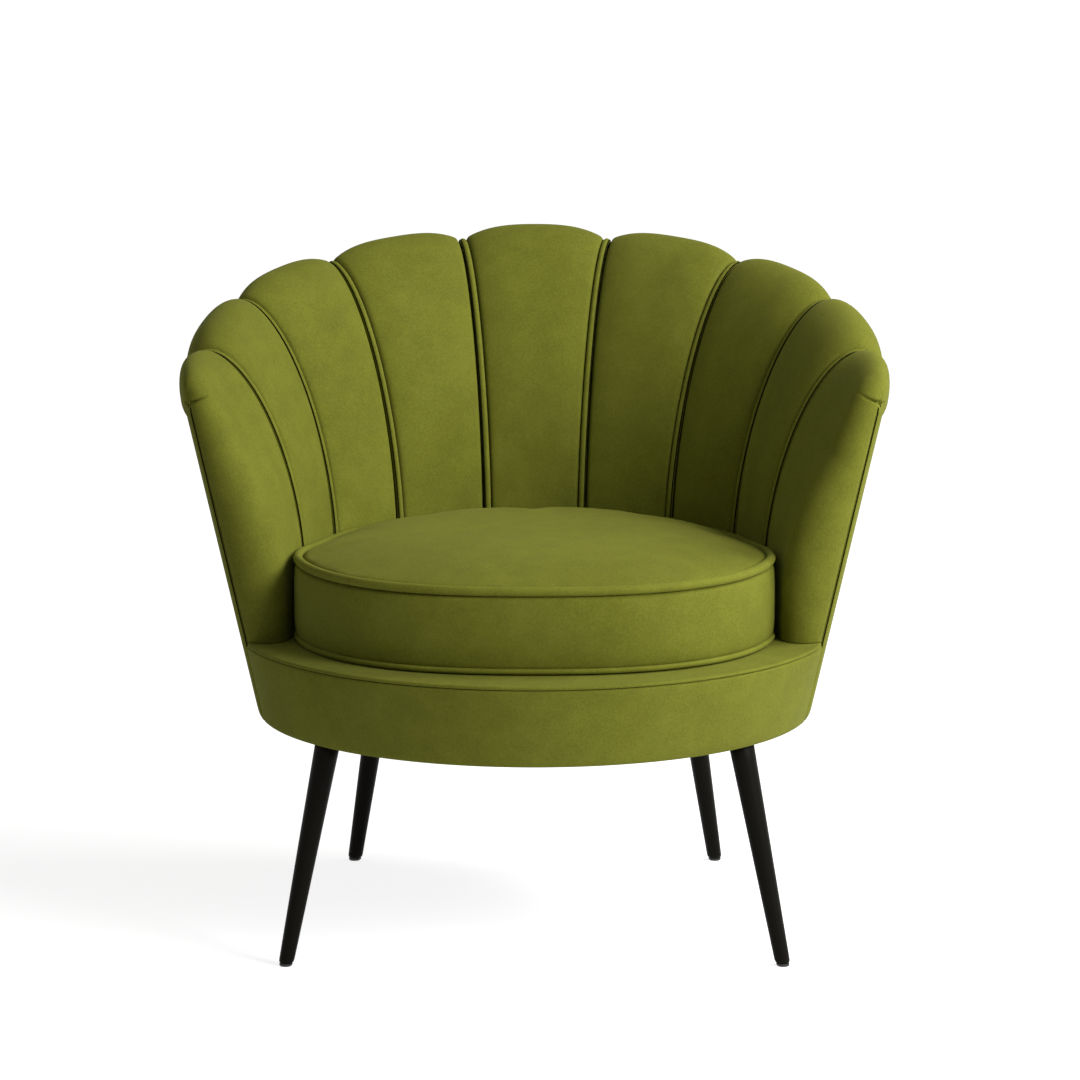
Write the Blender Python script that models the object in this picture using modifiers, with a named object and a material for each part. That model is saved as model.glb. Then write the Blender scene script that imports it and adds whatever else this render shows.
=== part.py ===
"""Scallop-back tub chair: channelled shell back, loose seat cushion, drum base, four splayed legs.

Metres, +Z up. The chair faces -Y, and left and right are as seen from the front, so left is -X.
A turn is an angle about the upright centre line of the base, from the back (+Y) towards +X.
"""

import math

import bmesh
import bpy
from mathutils import Vector

# Fits
GAP = 0.0003

# Drum base and outside of the shell, one continuous cone
BASE_BOTTOM = 0.2405
BASE_RADIUS = 0.3098
FLARE = 0.2275
BAND_THICKNESS = 0.010
PANEL_THICKNESS = 0.006
HEM_WIDTH = 0.012
HEM_THICKNESS = 0.002
HEM_CLEARANCE = 0.001
BOTTOM_ROUND = 0.004
DECK_TOP = 0.333
DECK_COVER_THICKNESS = 0.004
DECK_CHAMFER = 0.0012

# Scalloped back: seam lines, rim and padding
CHANNEL_TURN = math.radians(24.4)
SIDE_CHANNELS = 3
ARM_EDGE = math.radians(103.0)
SEAM_INSET = 0.0513
FLARE_START = 0.399
FLARE_POWER = 1.7
RIM_HEIGHT = 0.728
RIM_FALL = 0.085
RIM_POWER = 1.68
ARM_STEEPEN = 0.144
RIM_INSET = 0.016
RIM_DROP = 0.036
RIM_OVERHANG = -0.004
PAD_DEPTH = 0.028
PAD_RISE = 0.024
LIP_THICKNESS = 0.010
TUCK_CLEARANCE = 0.0008
CROWN_SEAT = 0.004
CROWN_BACK = 0.011
CROWN_RIM = 0.015
CROWN_TUCK = 0.008
CROWN_POWER = 2.6
ARM_CROWN = 0.021
ARM_WALL_TURN = math.radians(4.0)
ARM_WALL_FOLD = 0.005
ARM_WALL_CLEARANCE = 0.0015

# Share of a channel's length below the flare, below the rim's crest, and below the arm's full crown
KNEE_SHARE = 0.12
CREST_SHARE = 0.76
ARM_FULL_SHARE = 0.28

# Welts
WELT_RADIUS = 0.0035
ARM_WELT_RADIUS = 0.0032
ARM_WELT_INSET = 0.003
WELT_START_SHARE = 0.01
WELT_END_SHARE = 0.985
WELT_PROUD = 0.15

# Seat cushion
CUSHION_OVER_SEAM = 0.013
CUSHION_SQUARENESS = 2.4
CUSHION_REAR_CLEARANCE = 0.0053
CUSHION_REAR_TURN = math.radians(84.0)
CUSHION_FRONT_TURN = math.radians(104.0)
CUSHION_HEIGHT = 0.0963
CUSHION_CROWN = 0.022
CUSHION_CROWN_POWER = 3.5
TOP_WELT_RADIUS = 0.005
BOTTOM_WELT_RADIUS = 0.0035
COVER_THICKNESS = 0.0015
BAND_BULGE = 0.004
CUSHION_LIFT_OBJECT = "cushion_lift"

# Frame of the base
RING_THICKNESS = 0.018
UPPER_RING_THICKNESS = 0.015
RING_WIDTH = 0.1048
RING_CLEARANCE = 0.0005
LEG_BLOCK_HEIGHT = 0.0346
LEG_BLOCK_SIZE = (0.060, 0.042)
LEG_BLOCK_INSET = 0.0288
WEBBING_WIDTH = 0.060
WEBBING_THICKNESS = 0.002
WEBBING_OFFSET = 0.090
DECK_REAR_CLEARANCE = 0.003
DECK_REAR_TURN = math.radians(88.0)
DECK_SIDE_TURN = ARM_EDGE + math.radians(1.2)
PAD_FRONT_INSET = 0.012

# Frame of the back
RAIL_HEIGHT = 0.018
RAIL_CLEARANCE = 0.001
RAIL_TURN = math.radians(86.0)
BOARD_THICKNESS = 0.003
BOARD_CLEARANCE = 0.0006
BOARD_TURN = math.radians(83.0)
TOP_RAIL_TURN = math.radians(84.0)
TOP_RAIL_WIDTH = 0.016
TOP_RAIL_HEIGHT = 0.022
TOP_RAIL_OUTWARD = 0.004
TOP_RAIL_BELOW_PAD = 0.0080
POST_SIZE = 0.020
ARM_POST_TURN = math.radians(80.0)

# Legs
LEG_FOOT_OUTSET = 0.0402
LEG_TOP_INSET = 0.0193
FRONT_LEG_TURN = math.radians(180.0 - 51.0)
BACK_LEG_TURN = math.radians(37.5)
LEG_FOOT_HALF = 0.0079
LEG_TOP_HALF = 0.0133
LEG_TIP_ROUND = 0.002
STUD_RADIUS = 0.004
STUD_IN_LEG = 0.030
STUD_IN_BLOCK = 0.024
GLIDE_RADIUS = 0.0072
GLIDE_HEIGHT = 0.003
GLIDE_ROUND = 0.0012

# Facets
CHANNEL_COLUMNS = 6
CHANNEL_ROWS = 13
BOARD_COLUMNS = 34
BOARD_ROWS = 7
CUSHION_STEPS = 40
RING_STEPS = 48
LEG_STEPS = 16
WELT_POINTS = 16
WELT_SIDES = 6
DECK_POINTS = 29
BAND_COLUMNS = 28
BAND_ROWS = 5
BACK_PANEL_COLUMNS = 12
ARM_PANEL_COLUMNS = 11
PANEL_ROWS = 8
RAIL_STEPS = 24
TOP_RAIL_COLUMNS = 28
SHARP_ANGLE = math.radians(35.0)
MERGE_DISTANCE = 0.00001

# Lines worked out from the dimensions above
SEAM_RADIUS = BASE_RADIUS - SEAM_INSET
CUSHION_HALF = SEAM_RADIUS + CUSHION_OVER_SEAM
CUSHION_REAR_RADIUS = SEAM_RADIUS - CUSHION_REAR_CLEARANCE
RING_INNER_RADIUS = BASE_RADIUS - RING_WIDTH
LEG_BLOCK_RADIUS = BASE_RADIUS - LEG_BLOCK_INSET
DECK_REAR_RADIUS = SEAM_RADIUS + PAD_DEPTH - DECK_REAR_CLEARANCE
LEG_FOOT_RADIUS = BASE_RADIUS + LEG_FOOT_OUTSET
LEG_TOP_RADIUS = BASE_RADIUS - LEG_TOP_INSET
ARM_SEAM = CHANNEL_TURN * (SIDE_CHANNELS + 0.5)
CHANNEL_BOTTOM = DECK_TOP + GAP
SEAM_GAP = WELT_RADIUS + GAP
ARM_WELT_GAP = ARM_WELT_RADIUS + GAP
ARM_EDGE_INSET = ARM_WELT_INSET + ARM_WELT_GAP
DECK_SEAM = DECK_TOP - DECK_COVER_THICKNESS
LOWER_RING_BOTTOM = BASE_BOTTOM + HEM_THICKNESS + GAP
LOWER_RING_TOP = LOWER_RING_BOTTOM + RING_THICKNESS
BLOCK_BOTTOM = LOWER_RING_TOP + GAP
BLOCK_TOP = BLOCK_BOTTOM + LEG_BLOCK_HEIGHT
UPPER_RING_BOTTOM = BLOCK_TOP + GAP
UPPER_RING_TOP = UPPER_RING_BOTTOM + UPPER_RING_THICKNESS
WEBBING_BOTTOM = UPPER_RING_TOP + GAP
CROSS_WEBBING_BOTTOM = WEBBING_BOTTOM + WEBBING_THICKNESS + GAP
DECK_PAD_BOTTOM = CROSS_WEBBING_BOTTOM + WEBBING_THICKNESS + GAP
LEG_TOP = BASE_BOTTOM - GAP
LEG_BOTTOM = GLIDE_HEIGHT + GAP
CUSHION_BOTTOM = DECK_TOP + GAP


def polar(turn, radius, height):
    return Vector((radius * math.sin(turn), radius * math.cos(turn), height))


def lerp(start, end, share):
    return start + (end - start) * share


def smooth_step(share):
    share = min(max(share, 0.0), 1.0)
    return share * share * (3.0 - 2.0 * share)


def outside_radius(height):
    """Outer face of the base and of the outside panels."""
    return BASE_RADIUS + FLARE * (height - BASE_BOTTOM)


def rim_height(turn):
    """Crest of the seam lines: highest at the back, falling to the arms and steeper along their fronts."""
    back = min(abs(turn), ARM_SEAM) / ARM_SEAM
    arm = max(abs(turn) - ARM_SEAM, 0.0)
    slope = RIM_POWER * RIM_FALL / ARM_SEAM
    return RIM_HEIGHT - RIM_FALL * back**RIM_POWER - arm * (slope + ARM_STEEPEN * arm)


def tuck_height(turn):
    """Line where the channels end on the outside and the outside panels begin."""
    return rim_height(turn) - RIM_DROP


def seam_line(turn, share, deep=False):
    """Radius and height along a seam: up the inner face, over the rim, down to the tuck line.

    The deep line is the back of the padding, with the same foot and tuck heights.
    """
    foot = SEAM_RADIUS
    crest = rim_height(turn)
    crest_radius = outside_radius(tuck_height(turn)) + RIM_OVERHANG - RIM_INSET
    outward = RIM_INSET
    if deep:
        foot += PAD_DEPTH
        crest -= PAD_RISE
        crest_radius += RIM_INSET - LIP_THICKNESS - (RIM_DROP - PAD_RISE)
        outward = RIM_DROP - PAD_RISE
    if share <= KNEE_SHARE:
        return foot, lerp(CHANNEL_BOTTOM, FLARE_START, share / KNEE_SHARE)
    if share <= CREST_SHARE:
        angle = 0.5 * math.pi * (share - KNEE_SHARE) / (CREST_SHARE - KNEE_SHARE)
        inward = max(math.cos(angle), 0.0) ** (2.0 / FLARE_POWER)
        upward = max(math.sin(angle), 0.0) ** (2.0 / FLARE_POWER)
        radius = crest_radius - (crest_radius - foot) * inward
        return radius, lerp(FLARE_START, crest, upward)
    angle = 0.5 * math.pi * (share - CREST_SHARE) / (1.0 - CREST_SHARE)
    drop = crest - tuck_height(turn)
    return crest_radius + outward * math.sin(angle), crest - drop * (1.0 - math.cos(angle))


def seam_normal(turn, share):
    """Unit normal of a seam line in its own upright plane: inwards, then up, then outwards."""
    step = 0.01
    low = seam_line(turn, max(share - step, 0.0))
    high = seam_line(turn, min(share + step, 1.0))
    along = Vector((high[0] - low[0], high[1] - low[1])).normalized()
    return -along.y, along.x


def crown_height(share):
    """How far the middle of a channel stands out from its seams."""
    if share > CREST_SHARE:
        return lerp(CROWN_RIM, CROWN_TUCK, smooth_step((share - CREST_SHARE) / (1.0 - CREST_SHARE)))
    middle = 0.5 * (KNEE_SHARE + CREST_SHARE)
    if share > middle:
        return lerp(CROWN_BACK, CROWN_RIM, smooth_step((share - middle) / (CREST_SHARE - middle)))
    return lerp(CROWN_SEAT, CROWN_BACK, smooth_step((share - KNEE_SHARE) / (middle - KNEE_SHARE)))


def crown_shape(across):
    return 1.0 - abs(2.0 * across - 1.0) ** CROWN_POWER


def channel_point(start, end, across, share, deep):
    """A point of a back channel between the seams at turns start and end."""
    middle = lerp(start, end, across)
    radius, height = seam_line(middle, share, deep)
    margin = SEAM_GAP / radius
    turn = lerp(start + margin, end - margin, across)
    radius, height = seam_line(turn, share, deep)
    if not deep:
        outward, upward = seam_normal(turn, share)
        crown = crown_height(share) * crown_shape(across)
        radius += outward * crown
        height += upward * crown
    return polar(turn, radius, height)


def arm_edge(share):
    """The arm front's outer edge: up beside the outside panel, then folded over and down to the tuck line."""
    crest = rim_height(ARM_EDGE)
    if share <= CREST_SHARE:
        height = lerp(CHANNEL_BOTTOM, crest, share / CREST_SHARE)
        return polar(ARM_EDGE, outside_radius(height) - ARM_EDGE_INSET, height)
    angle = 0.5 * math.pi * (share - CREST_SHARE) / (1.0 - CREST_SHARE)
    height = crest - RIM_DROP * (1.0 - math.cos(angle))
    outward = lerp(-ARM_EDGE_INSET, RIM_OVERHANG, math.sin(angle))
    return polar(ARM_EDGE, outside_radius(height) + outward, height)


def deep_arm_edge(share):
    """The same edge at the back of the padding: straight up the inside of the outside panel."""
    turn = ARM_EDGE - ARM_WALL_TURN
    top = tuck_height(turn)
    if share <= CREST_SHARE:
        height = lerp(CHANNEL_BOTTOM, top - ARM_WALL_FOLD, share / CREST_SHARE)
    else:
        height = top - ARM_WALL_FOLD * (1.0 - share) / (1.0 - CREST_SHARE)
    return polar(turn, outside_radius(height) - ARM_EDGE_INSET - ARM_WALL_CLEARANCE, height)


def arm_patch(across, share, deep):
    """The arm-front channel without its crown, from the last seam to the edge of the outside panel."""
    on_edge = deep_arm_edge if deep else arm_edge

    def on_seam(part):
        radius, height = seam_line(ARM_SEAM, part, deep)
        return polar(ARM_SEAM + SEAM_GAP / radius, radius, height)

    seam_end, edge_end = on_seam(1.0), on_edge(1.0)
    turn = lerp(*(math.atan2(end.x, end.y) for end in (seam_end, edge_end)), across)
    radius = lerp(seam_end.xy.length, edge_end.xy.length, across)
    height = tuck_height(turn)
    spread = outside_radius(height) - lerp(*(outside_radius(end.z) for end in (seam_end, edge_end)), across)
    tucked = polar(turn, radius + spread, height)
    fold = smooth_step((share - CREST_SHARE) / (1.0 - CREST_SHARE))
    straight = lerp(seam_end, edge_end, across)
    return lerp(on_seam(share), on_edge(share), across) + (tucked - straight) * fold


def arm_point(across, share, deep):
    point = arm_patch(across, share, deep)
    if deep:
        return point
    step = 0.02
    inner, outer = max(across - step, 0.0), min(across + step, 1.0)
    lower, upper = max(share - step, 0.0), min(share + step, 1.0)
    sideways = arm_patch(outer, share, False) - arm_patch(inner, share, False)
    upwards = arm_patch(across, upper, False) - arm_patch(across, lower, False)
    normal = sideways.cross(upwards).normalized()
    normal.z = max(normal.z, 0.0)
    rise = smooth_step(share / ARM_FULL_SHARE)
    fade = 1.0 - smooth_step((share - CREST_SHARE) / (1.0 - CREST_SHARE))
    crown = lerp(CROWN_SEAT, ARM_CROWN, rise) * fade + CROWN_TUCK * (1.0 - fade)
    return point + normal * crown * crown_shape(across)


def cushion_plan(turn):
    """Outline radius of the cushion: round behind, where the back holds it, squarer in front."""
    side = abs(math.sin(turn)) ** CUSHION_SQUARENESS
    front = abs(math.cos(turn)) ** CUSHION_SQUARENESS
    squared = CUSHION_HALF / (side + front) ** (1.0 / CUSHION_SQUARENESS)
    forward = (abs(turn) - CUSHION_REAR_TURN) / (CUSHION_FRONT_TURN - CUSHION_REAR_TURN)
    return lerp(CUSHION_REAR_RADIUS, squared, smooth_step(forward))


def new_collection(name):
    collection = bpy.data.collections.new(name)
    bpy.context.scene.collection.children.link(collection)
    return collection


def new_material(name, colour, roughness, metallic=0.0):
    material = bpy.data.materials.new(name)
    material.use_nodes = True
    shader = material.node_tree.nodes["Principled BSDF"]
    shader.inputs["Base Color"].default_value = (*colour, 1.0)
    shader.inputs["Roughness"].default_value = roughness
    shader.inputs["Metallic"].default_value = metallic
    material.diffuse_color = (*colour, 1.0)
    return material


def finished_mesh(mesh_edit, name):
    """Turns an edit mesh into a closed, outward-facing, smooth-shaded mesh."""
    bmesh.ops.recalc_face_normals(mesh_edit, faces=mesh_edit.faces)
    if mesh_edit.calc_volume(signed=True) < 0.0:
        bmesh.ops.reverse_faces(mesh_edit, faces=mesh_edit.faces)
    mesh = bpy.data.meshes.new(name)
    mesh_edit.to_mesh(mesh)
    mesh_edit.free()
    mesh.shade_smooth()
    mesh.set_sharp_from_angle(angle=SHARP_ANGLE)
    return mesh


def slab(columns, rows, front, back):
    """A grid laid on the front surface and thickened to the back surface, both given by two shares."""
    edit = bmesh.new()
    bmesh.ops.create_grid(edit, x_segments=columns, y_segments=rows, size=0.5)
    shares = {vert: (vert.co.x + 0.5, vert.co.y + 0.5) for vert in edit.verts}
    grid = list(edit.faces) + list(edit.edges) + list(edit.verts)
    extruded = bmesh.ops.extrude_face_region(edit, geom=grid)["geom"]
    for vert in extruded:
        if isinstance(vert, bmesh.types.BMVert):
            vert.co = back(vert.co.x + 0.5, vert.co.y + 0.5)
    for vert, (across, along) in shares.items():
        vert.co = front(across, along)
    return edit


def turned(profile, steps):
    """A full turn of a profile of radius and height pairs, listed down the outer side."""
    mesh = bpy.data.meshes.new("profile")
    points = [(radius, 0.0, height) for radius, height in profile]
    mesh.from_pydata(points, [(i, i + 1) for i in range(len(points) - 1)], [])
    turning = bpy.data.objects.new("turning", mesh)
    bpy.context.scene.collection.objects.link(turning)
    screw = turning.modifiers.new("turn", "SCREW")
    screw.steps = steps
    screw.render_steps = steps
    screw.use_merge_vertices = True
    screw.merge_threshold = MERGE_DISTANCE
    evaluated = turning.evaluated_get(bpy.context.evaluated_depsgraph_get())
    edit = bmesh.new()
    edit.from_mesh(evaluated.to_mesh())
    bmesh.ops.remove_doubles(edit, verts=edit.verts, dist=MERGE_DISTANCE)
    bpy.data.objects.remove(turning)
    return edit


def closed(profile):
    return profile + profile[:1]


def circle_profile(radius, height, size, sides):
    """A round section, listed down its outer side."""
    angles = [0.5 * math.pi - 2.0 * math.pi * i / sides for i in range(sides)]
    return closed([(radius + size * math.cos(a), height + size * math.sin(a)) for a in angles])


def arc(radius, start, end, count):
    return [polar(lerp(start, end, i / (count - 1)), radius, 0.0) for i in range(count)]


class Chair:
    """Collects the chair's parts and builds them."""

    def __init__(self):
        self.parts = new_collection("tub_chair")
        self.cutters = new_collection("cutters")
        self.root = self.add_empty("chair", None)
        self.lift = self.add_empty(CUSHION_LIFT_OBJECT, self.root)
        self.lift.location.z = CUSHION_BOTTOM
        self.velvet = new_material("velvet", (0.150, 0.160, 0.030), 0.85)
        self.piping = new_material("velvet_piping", (0.165, 0.175, 0.035), 0.80)
        self.black_wood = new_material("black_wood", (0.012, 0.011, 0.010), 0.38)
        self.black_plastic = new_material("black_plastic", (0.015, 0.015, 0.015), 0.55)
        self.plywood = new_material("plywood", (0.520, 0.370, 0.210), 0.70)
        self.fibreboard = new_material("fibreboard", (0.260, 0.170, 0.095), 0.80)
        self.zinc = new_material("zinc_steel", (0.560, 0.570, 0.580), 0.35, 1.0)
        self.foam = new_material("foam", (0.780, 0.730, 0.560), 0.95)
        self.webbing = new_material("webbing", (0.090, 0.085, 0.080), 0.90)
        self.lining = new_material("black_lining", (0.020, 0.020, 0.021), 0.95)

    def add_empty(self, name, parent):
        empty = bpy.data.objects.new(name, None)
        self.parts.objects.link(empty)
        empty.parent = parent
        return empty

    def add(self, name, edit, material, parent=None):
        mesh = finished_mesh(edit, name)
        mesh.materials.append(material)
        part = bpy.data.objects.new(name, mesh)
        self.parts.objects.link(part)
        part.parent = parent or self.root
        return part

    def add_curve(self, name, points, material, flat=False, cyclic=False):
        curve = bpy.data.curves.new(name, "CURVE")
        curve.dimensions = "2D" if flat else "3D"
        spline = curve.splines.new("POLY")
        spline.points.add(len(points) - 1)
        for target, point in zip(spline.points, points):
            target.co = (*point, 1.0)
        spline.use_cyclic_u = cyclic
        curve.materials.append(material)
        part = bpy.data.objects.new(name, curve)
        self.parts.objects.link(part)
        part.parent = self.root
        return part

    def add_tube(self, name, points, radius, material):
        part = self.add_curve(name, points, material)
        part.data.bevel_depth = radius
        part.data.bevel_resolution = 1
        part.data.use_fill_caps = True
        return part

    def add_flat(self, name, points, bottom, top, material, chamfer=0.0):
        part = self.add_curve(name, points, material, flat=True, cyclic=True)
        part.data.fill_mode = "BOTH"
        part.data.extrude = 0.5 * (top - bottom) - chamfer
        part.data.bevel_depth = chamfer
        part.data.bevel_resolution = 0
        part.data.offset = -chamfer
        part.location.z = 0.5 * (bottom + top)
        return part

    def add_box(self, name, size, centre, turn, material):
        edit = bmesh.new()
        bmesh.ops.create_cube(edit, size=1.0)
        bmesh.ops.scale(edit, vec=size, verts=edit.verts)
        part = self.add(name, edit, material)
        part.location = centre
        part.rotation_euler.z = -turn
        return part

    def cut(self, part, cutter):
        boolean = part.modifiers.new("cut_" + cutter.name, "BOOLEAN")
        boolean.operation = "DIFFERENCE"
        boolean.object = cutter

    def leaning(self, edit, turn):
        """Leans an upright turned piece along a leg's line, keeping its ends level."""
        lean = (LEG_TOP_RADIUS - LEG_FOOT_RADIUS) / LEG_TOP
        for vert in edit.verts:
            vert.co += polar(turn, LEG_FOOT_RADIUS + lean * vert.co.z, 0.0)
        return edit

    def build_leg(self, place, turn, holed):
        """A leg with its glide, threaded stud and leg block; the holed pieces let the stud through."""
        stud_bottom = LEG_TOP - STUD_IN_LEG
        bore = STUD_RADIUS + GAP
        leg = turned(
            [
                (0.0, stud_bottom - GAP),
                (bore, stud_bottom - GAP),
                (bore, LEG_TOP),
                (LEG_TOP_HALF, LEG_TOP),
                (LEG_FOOT_HALF + LEG_TIP_ROUND * 0.3, LEG_BOTTOM + 2.0 * LEG_TIP_ROUND),
                (LEG_FOOT_HALF, LEG_BOTTOM + LEG_TIP_ROUND),
                (LEG_FOOT_HALF - LEG_TIP_ROUND * 0.6, LEG_BOTTOM),
                (0.0, LEG_BOTTOM),
            ],
            LEG_STEPS,
        )
        self.add("leg_" + place, self.leaning(leg, turn), self.black_wood)

        glide = turned(
            [
                (0.0, GLIDE_HEIGHT),
                (GLIDE_RADIUS, GLIDE_HEIGHT),
                (GLIDE_RADIUS, GLIDE_ROUND),
                (GLIDE_RADIUS - GLIDE_ROUND, 0.0),
                (0.0, 0.0),
            ],
            LEG_STEPS,
        )
        self.add("glide_" + place, self.leaning(glide, turn), self.black_plastic)

        stud_top = BLOCK_BOTTOM + STUD_IN_BLOCK
        stud = turned(
            [(0.0, stud_top), (STUD_RADIUS, stud_top), (STUD_RADIUS, stud_bottom), (0.0, stud_bottom)],
            LEG_STEPS,
        )
        self.add("leg_stud_" + place, self.leaning(stud, turn), self.zinc)

        size = (*LEG_BLOCK_SIZE, LEG_BLOCK_HEIGHT)
        centre = polar(turn, LEG_BLOCK_RADIUS, 0.5 * (BLOCK_BOTTOM + BLOCK_TOP))
        block = self.add_box("leg_block_" + place, size, centre, turn, self.plywood)

        drill_top = stud_top + GAP
        drill = turned([(0.0, drill_top), (bore, drill_top), (bore, 0.0), (0.0, 0.0)], LEG_STEPS)
        cutter = self.add("stud_hole_" + place, self.leaning(drill, turn), self.zinc)
        self.parts.objects.unlink(cutter)
        self.cutters.objects.link(cutter)
        cutter.hide_render = True
        cutter.display_type = "WIRE"
        for part in (block, *holed):
            self.cut(part, cutter)

    def build_legs(self, holed):
        for side, sign in (("left", -1.0), ("right", 1.0)):
            self.build_leg("front_" + side, sign * FRONT_LEG_TURN, holed)
            self.build_leg("back_" + side, sign * BACK_LEG_TURN, holed)

    def build_ring(self, name, bottom, top):
        inset = BAND_THICKNESS + RING_CLEARANCE
        profile = [
            (RING_INNER_RADIUS, top),
            (outside_radius(top) - inset, top),
            (outside_radius(bottom) - inset, bottom),
            (RING_INNER_RADIUS, bottom),
        ]
        return self.add(name, turned(closed(profile), RING_STEPS), self.plywood)

    def build_dust_cover(self):
        radius = BASE_RADIUS - HEM_WIDTH - HEM_CLEARANCE
        top = BASE_BOTTOM + HEM_THICKNESS
        profile = [(0.0, top), (radius, top), (radius, BASE_BOTTOM), (0.0, BASE_BOTTOM)]
        return self.add("dust_cover", turned(profile, RING_STEPS), self.lining)

    def build_webbing(self):
        """Two straps front to back and two across, the cross straps on top."""
        half = WEBBING_OFFSET + 0.5 * WEBBING_WIDTH
        front = math.sqrt((outside_radius(UPPER_RING_TOP) - 2.0 * BAND_THICKNESS) ** 2 - half**2)
        rear = math.sqrt(DECK_REAR_RADIUS**2 - half**2)
        for side, sign in (("left", -1.0), ("right", 1.0)):
            size = (WEBBING_WIDTH, front + rear, WEBBING_THICKNESS)
            height = WEBBING_BOTTOM + 0.5 * WEBBING_THICKNESS
            centre = (sign * WEBBING_OFFSET, 0.5 * (rear - front), height)
            self.add_box("webbing_" + side, size, centre, 0.0, self.webbing)
        for place, sign in (("front", -1.0), ("rear", 1.0)):
            size = (2.0 * rear, WEBBING_WIDTH, WEBBING_THICKNESS)
            centre = (0.0, sign * WEBBING_OFFSET, CROSS_WEBBING_BOTTOM + 0.5 * WEBBING_THICKNESS)
            self.add_box("webbing_" + place, size, centre, 0.0, self.webbing)

    def deck_outline(self, front_radius):
        """Full radius in front of the arms, stepped in behind them to clear the back frame."""
        notch = front_radius - 2.0 * ARM_EDGE_INSET
        front = arc(front_radius, DECK_SIDE_TURN, 2.0 * math.pi - DECK_SIDE_TURN, DECK_POINTS)
        rear = arc(DECK_REAR_RADIUS, -DECK_REAR_TURN, DECK_REAR_TURN, DECK_POINTS)
        return [*front, polar(-DECK_SIDE_TURN, notch, 0.0), *rear, polar(DECK_SIDE_TURN, notch, 0.0)]

    def build_deck(self):
        pad_radius = outside_radius(DECK_PAD_BOTTOM) - PAD_FRONT_INSET
        self.add_flat("deck_pad", self.deck_outline(pad_radius), DECK_PAD_BOTTOM, DECK_SEAM - GAP, self.foam)
        cover = self.deck_outline(outside_radius(DECK_SEAM))
        self.add_flat("deck_cover", cover, DECK_SEAM, DECK_TOP, self.velvet, DECK_CHAMFER)

    def build_skirt(self, name, start, end, top_height, thickness, columns, rows):
        """A curved outside panel with a rounded bottom edge and a hem turned in under the base."""

        def section(turn, share, depth):
            row = round(share * rows)
            hem_top = BASE_BOTTOM + depth * HEM_THICKNESS
            if row == 0:
                return BASE_RADIUS - HEM_WIDTH, hem_top
            if row == 1:
                return BASE_RADIUS - BOTTOM_ROUND - depth * 0.5 * BOTTOM_ROUND, hem_top
            bottom = BASE_BOTTOM + BOTTOM_ROUND
            height = lerp(bottom, top_height(turn), (row - 2) / (rows - 2))
            return outside_radius(height) - depth * thickness, height

        def surface(depth):
            def point(across, share):
                turn = lerp(start, end, across)
                return polar(turn, *section(turn, share, depth))

            return point

        self.add(name, slab(columns, rows, surface(0.0), surface(1.0)), self.velvet)

    def build_outside(self):
        """Front band, outside back and outside arms, with the arm-edge welts between them."""
        margin = ARM_WELT_GAP / BASE_RADIUS
        seam = 1.5 * CHANNEL_TURN
        inner, outer = seam + GAP / BASE_RADIUS, ARM_EDGE - margin

        def band_top(_turn):
            return DECK_SEAM - GAP

        def panel_top(turn):
            return tuck_height(turn) - TUCK_CLEARANCE

        start, end = ARM_EDGE + margin, 2.0 * math.pi - ARM_EDGE - margin
        grid = BAND_COLUMNS, BAND_ROWS
        self.build_skirt("front_band", start, end, band_top, BAND_THICKNESS, *grid)
        grid = BACK_PANEL_COLUMNS, PANEL_ROWS
        self.build_skirt("outside_back", -seam, seam, panel_top, PANEL_THICKNESS, *grid)
        grid = ARM_PANEL_COLUMNS, PANEL_ROWS
        self.build_skirt("outside_arm_left", -outer, -inner, panel_top, PANEL_THICKNESS, *grid)
        self.build_skirt("outside_arm_right", inner, outer, panel_top, PANEL_THICKNESS, *grid)

        bottom, top = BASE_BOTTOM + BOTTOM_ROUND, tuck_height(ARM_EDGE) - ARM_WELT_RADIUS
        heights = [lerp(bottom, top, i / (WELT_POINTS - 1)) for i in range(WELT_POINTS)]
        for side, sign in (("left", -1.0), ("right", 1.0)):
            points = [polar(sign * ARM_EDGE, outside_radius(h) - ARM_WELT_INSET, h) for h in heights]
            self.add_tube("arm_welt_" + side, points, ARM_WELT_RADIUS, self.piping)

    def build_channels(self):
        """Seven back channels between the seams, an arm-front channel on each side, and the welts."""
        names = {0: "channel_centre"}
        for number in range(1, SIDE_CHANNELS + 1):
            names[-number] = f"channel_left_{number}"
            names[number] = f"channel_right_{number}"
        for number, name in names.items():
            start, end = (number - 0.5) * CHANNEL_TURN, (number + 0.5) * CHANNEL_TURN

            def surface(deep, start=start, end=end):
                return lambda across, share: channel_point(start, end, across, share, deep)

            edit = slab(CHANNEL_COLUMNS, CHANNEL_ROWS, surface(False), surface(True))
            self.add(name, edit, self.velvet)

        for side, sign in (("left", -1.0), ("right", 1.0)):
            flip = Vector((sign, 1.0, 1.0))

            def arm_surface(deep, flip=flip):
                return lambda across, share: arm_point(across, share, deep) * flip

            edit = slab(CHANNEL_COLUMNS, CHANNEL_ROWS, arm_surface(False), arm_surface(True))
            self.add("channel_arm_" + side, edit, self.velvet)
            for number in range(SIDE_CHANNELS + 1):
                seam = sign * (number + 0.5) * CHANNEL_TURN
                self.build_channel_welt(f"channel_welt_{side}_{number + 1}", seam)

    def build_channel_welt(self, name, seam):
        points = []
        for i in range(WELT_POINTS):
            share = lerp(WELT_START_SHARE, WELT_END_SHARE, i / (WELT_POINTS - 1))
            radius, height = seam_line(seam, share)
            outward, upward = seam_normal(seam, share)
            proud = WELT_PROUD * crown_height(share)
            points.append(polar(seam, radius + outward * proud, height + upward * proud))
        self.add_tube(name, points, WELT_RADIUS, self.piping)

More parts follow.
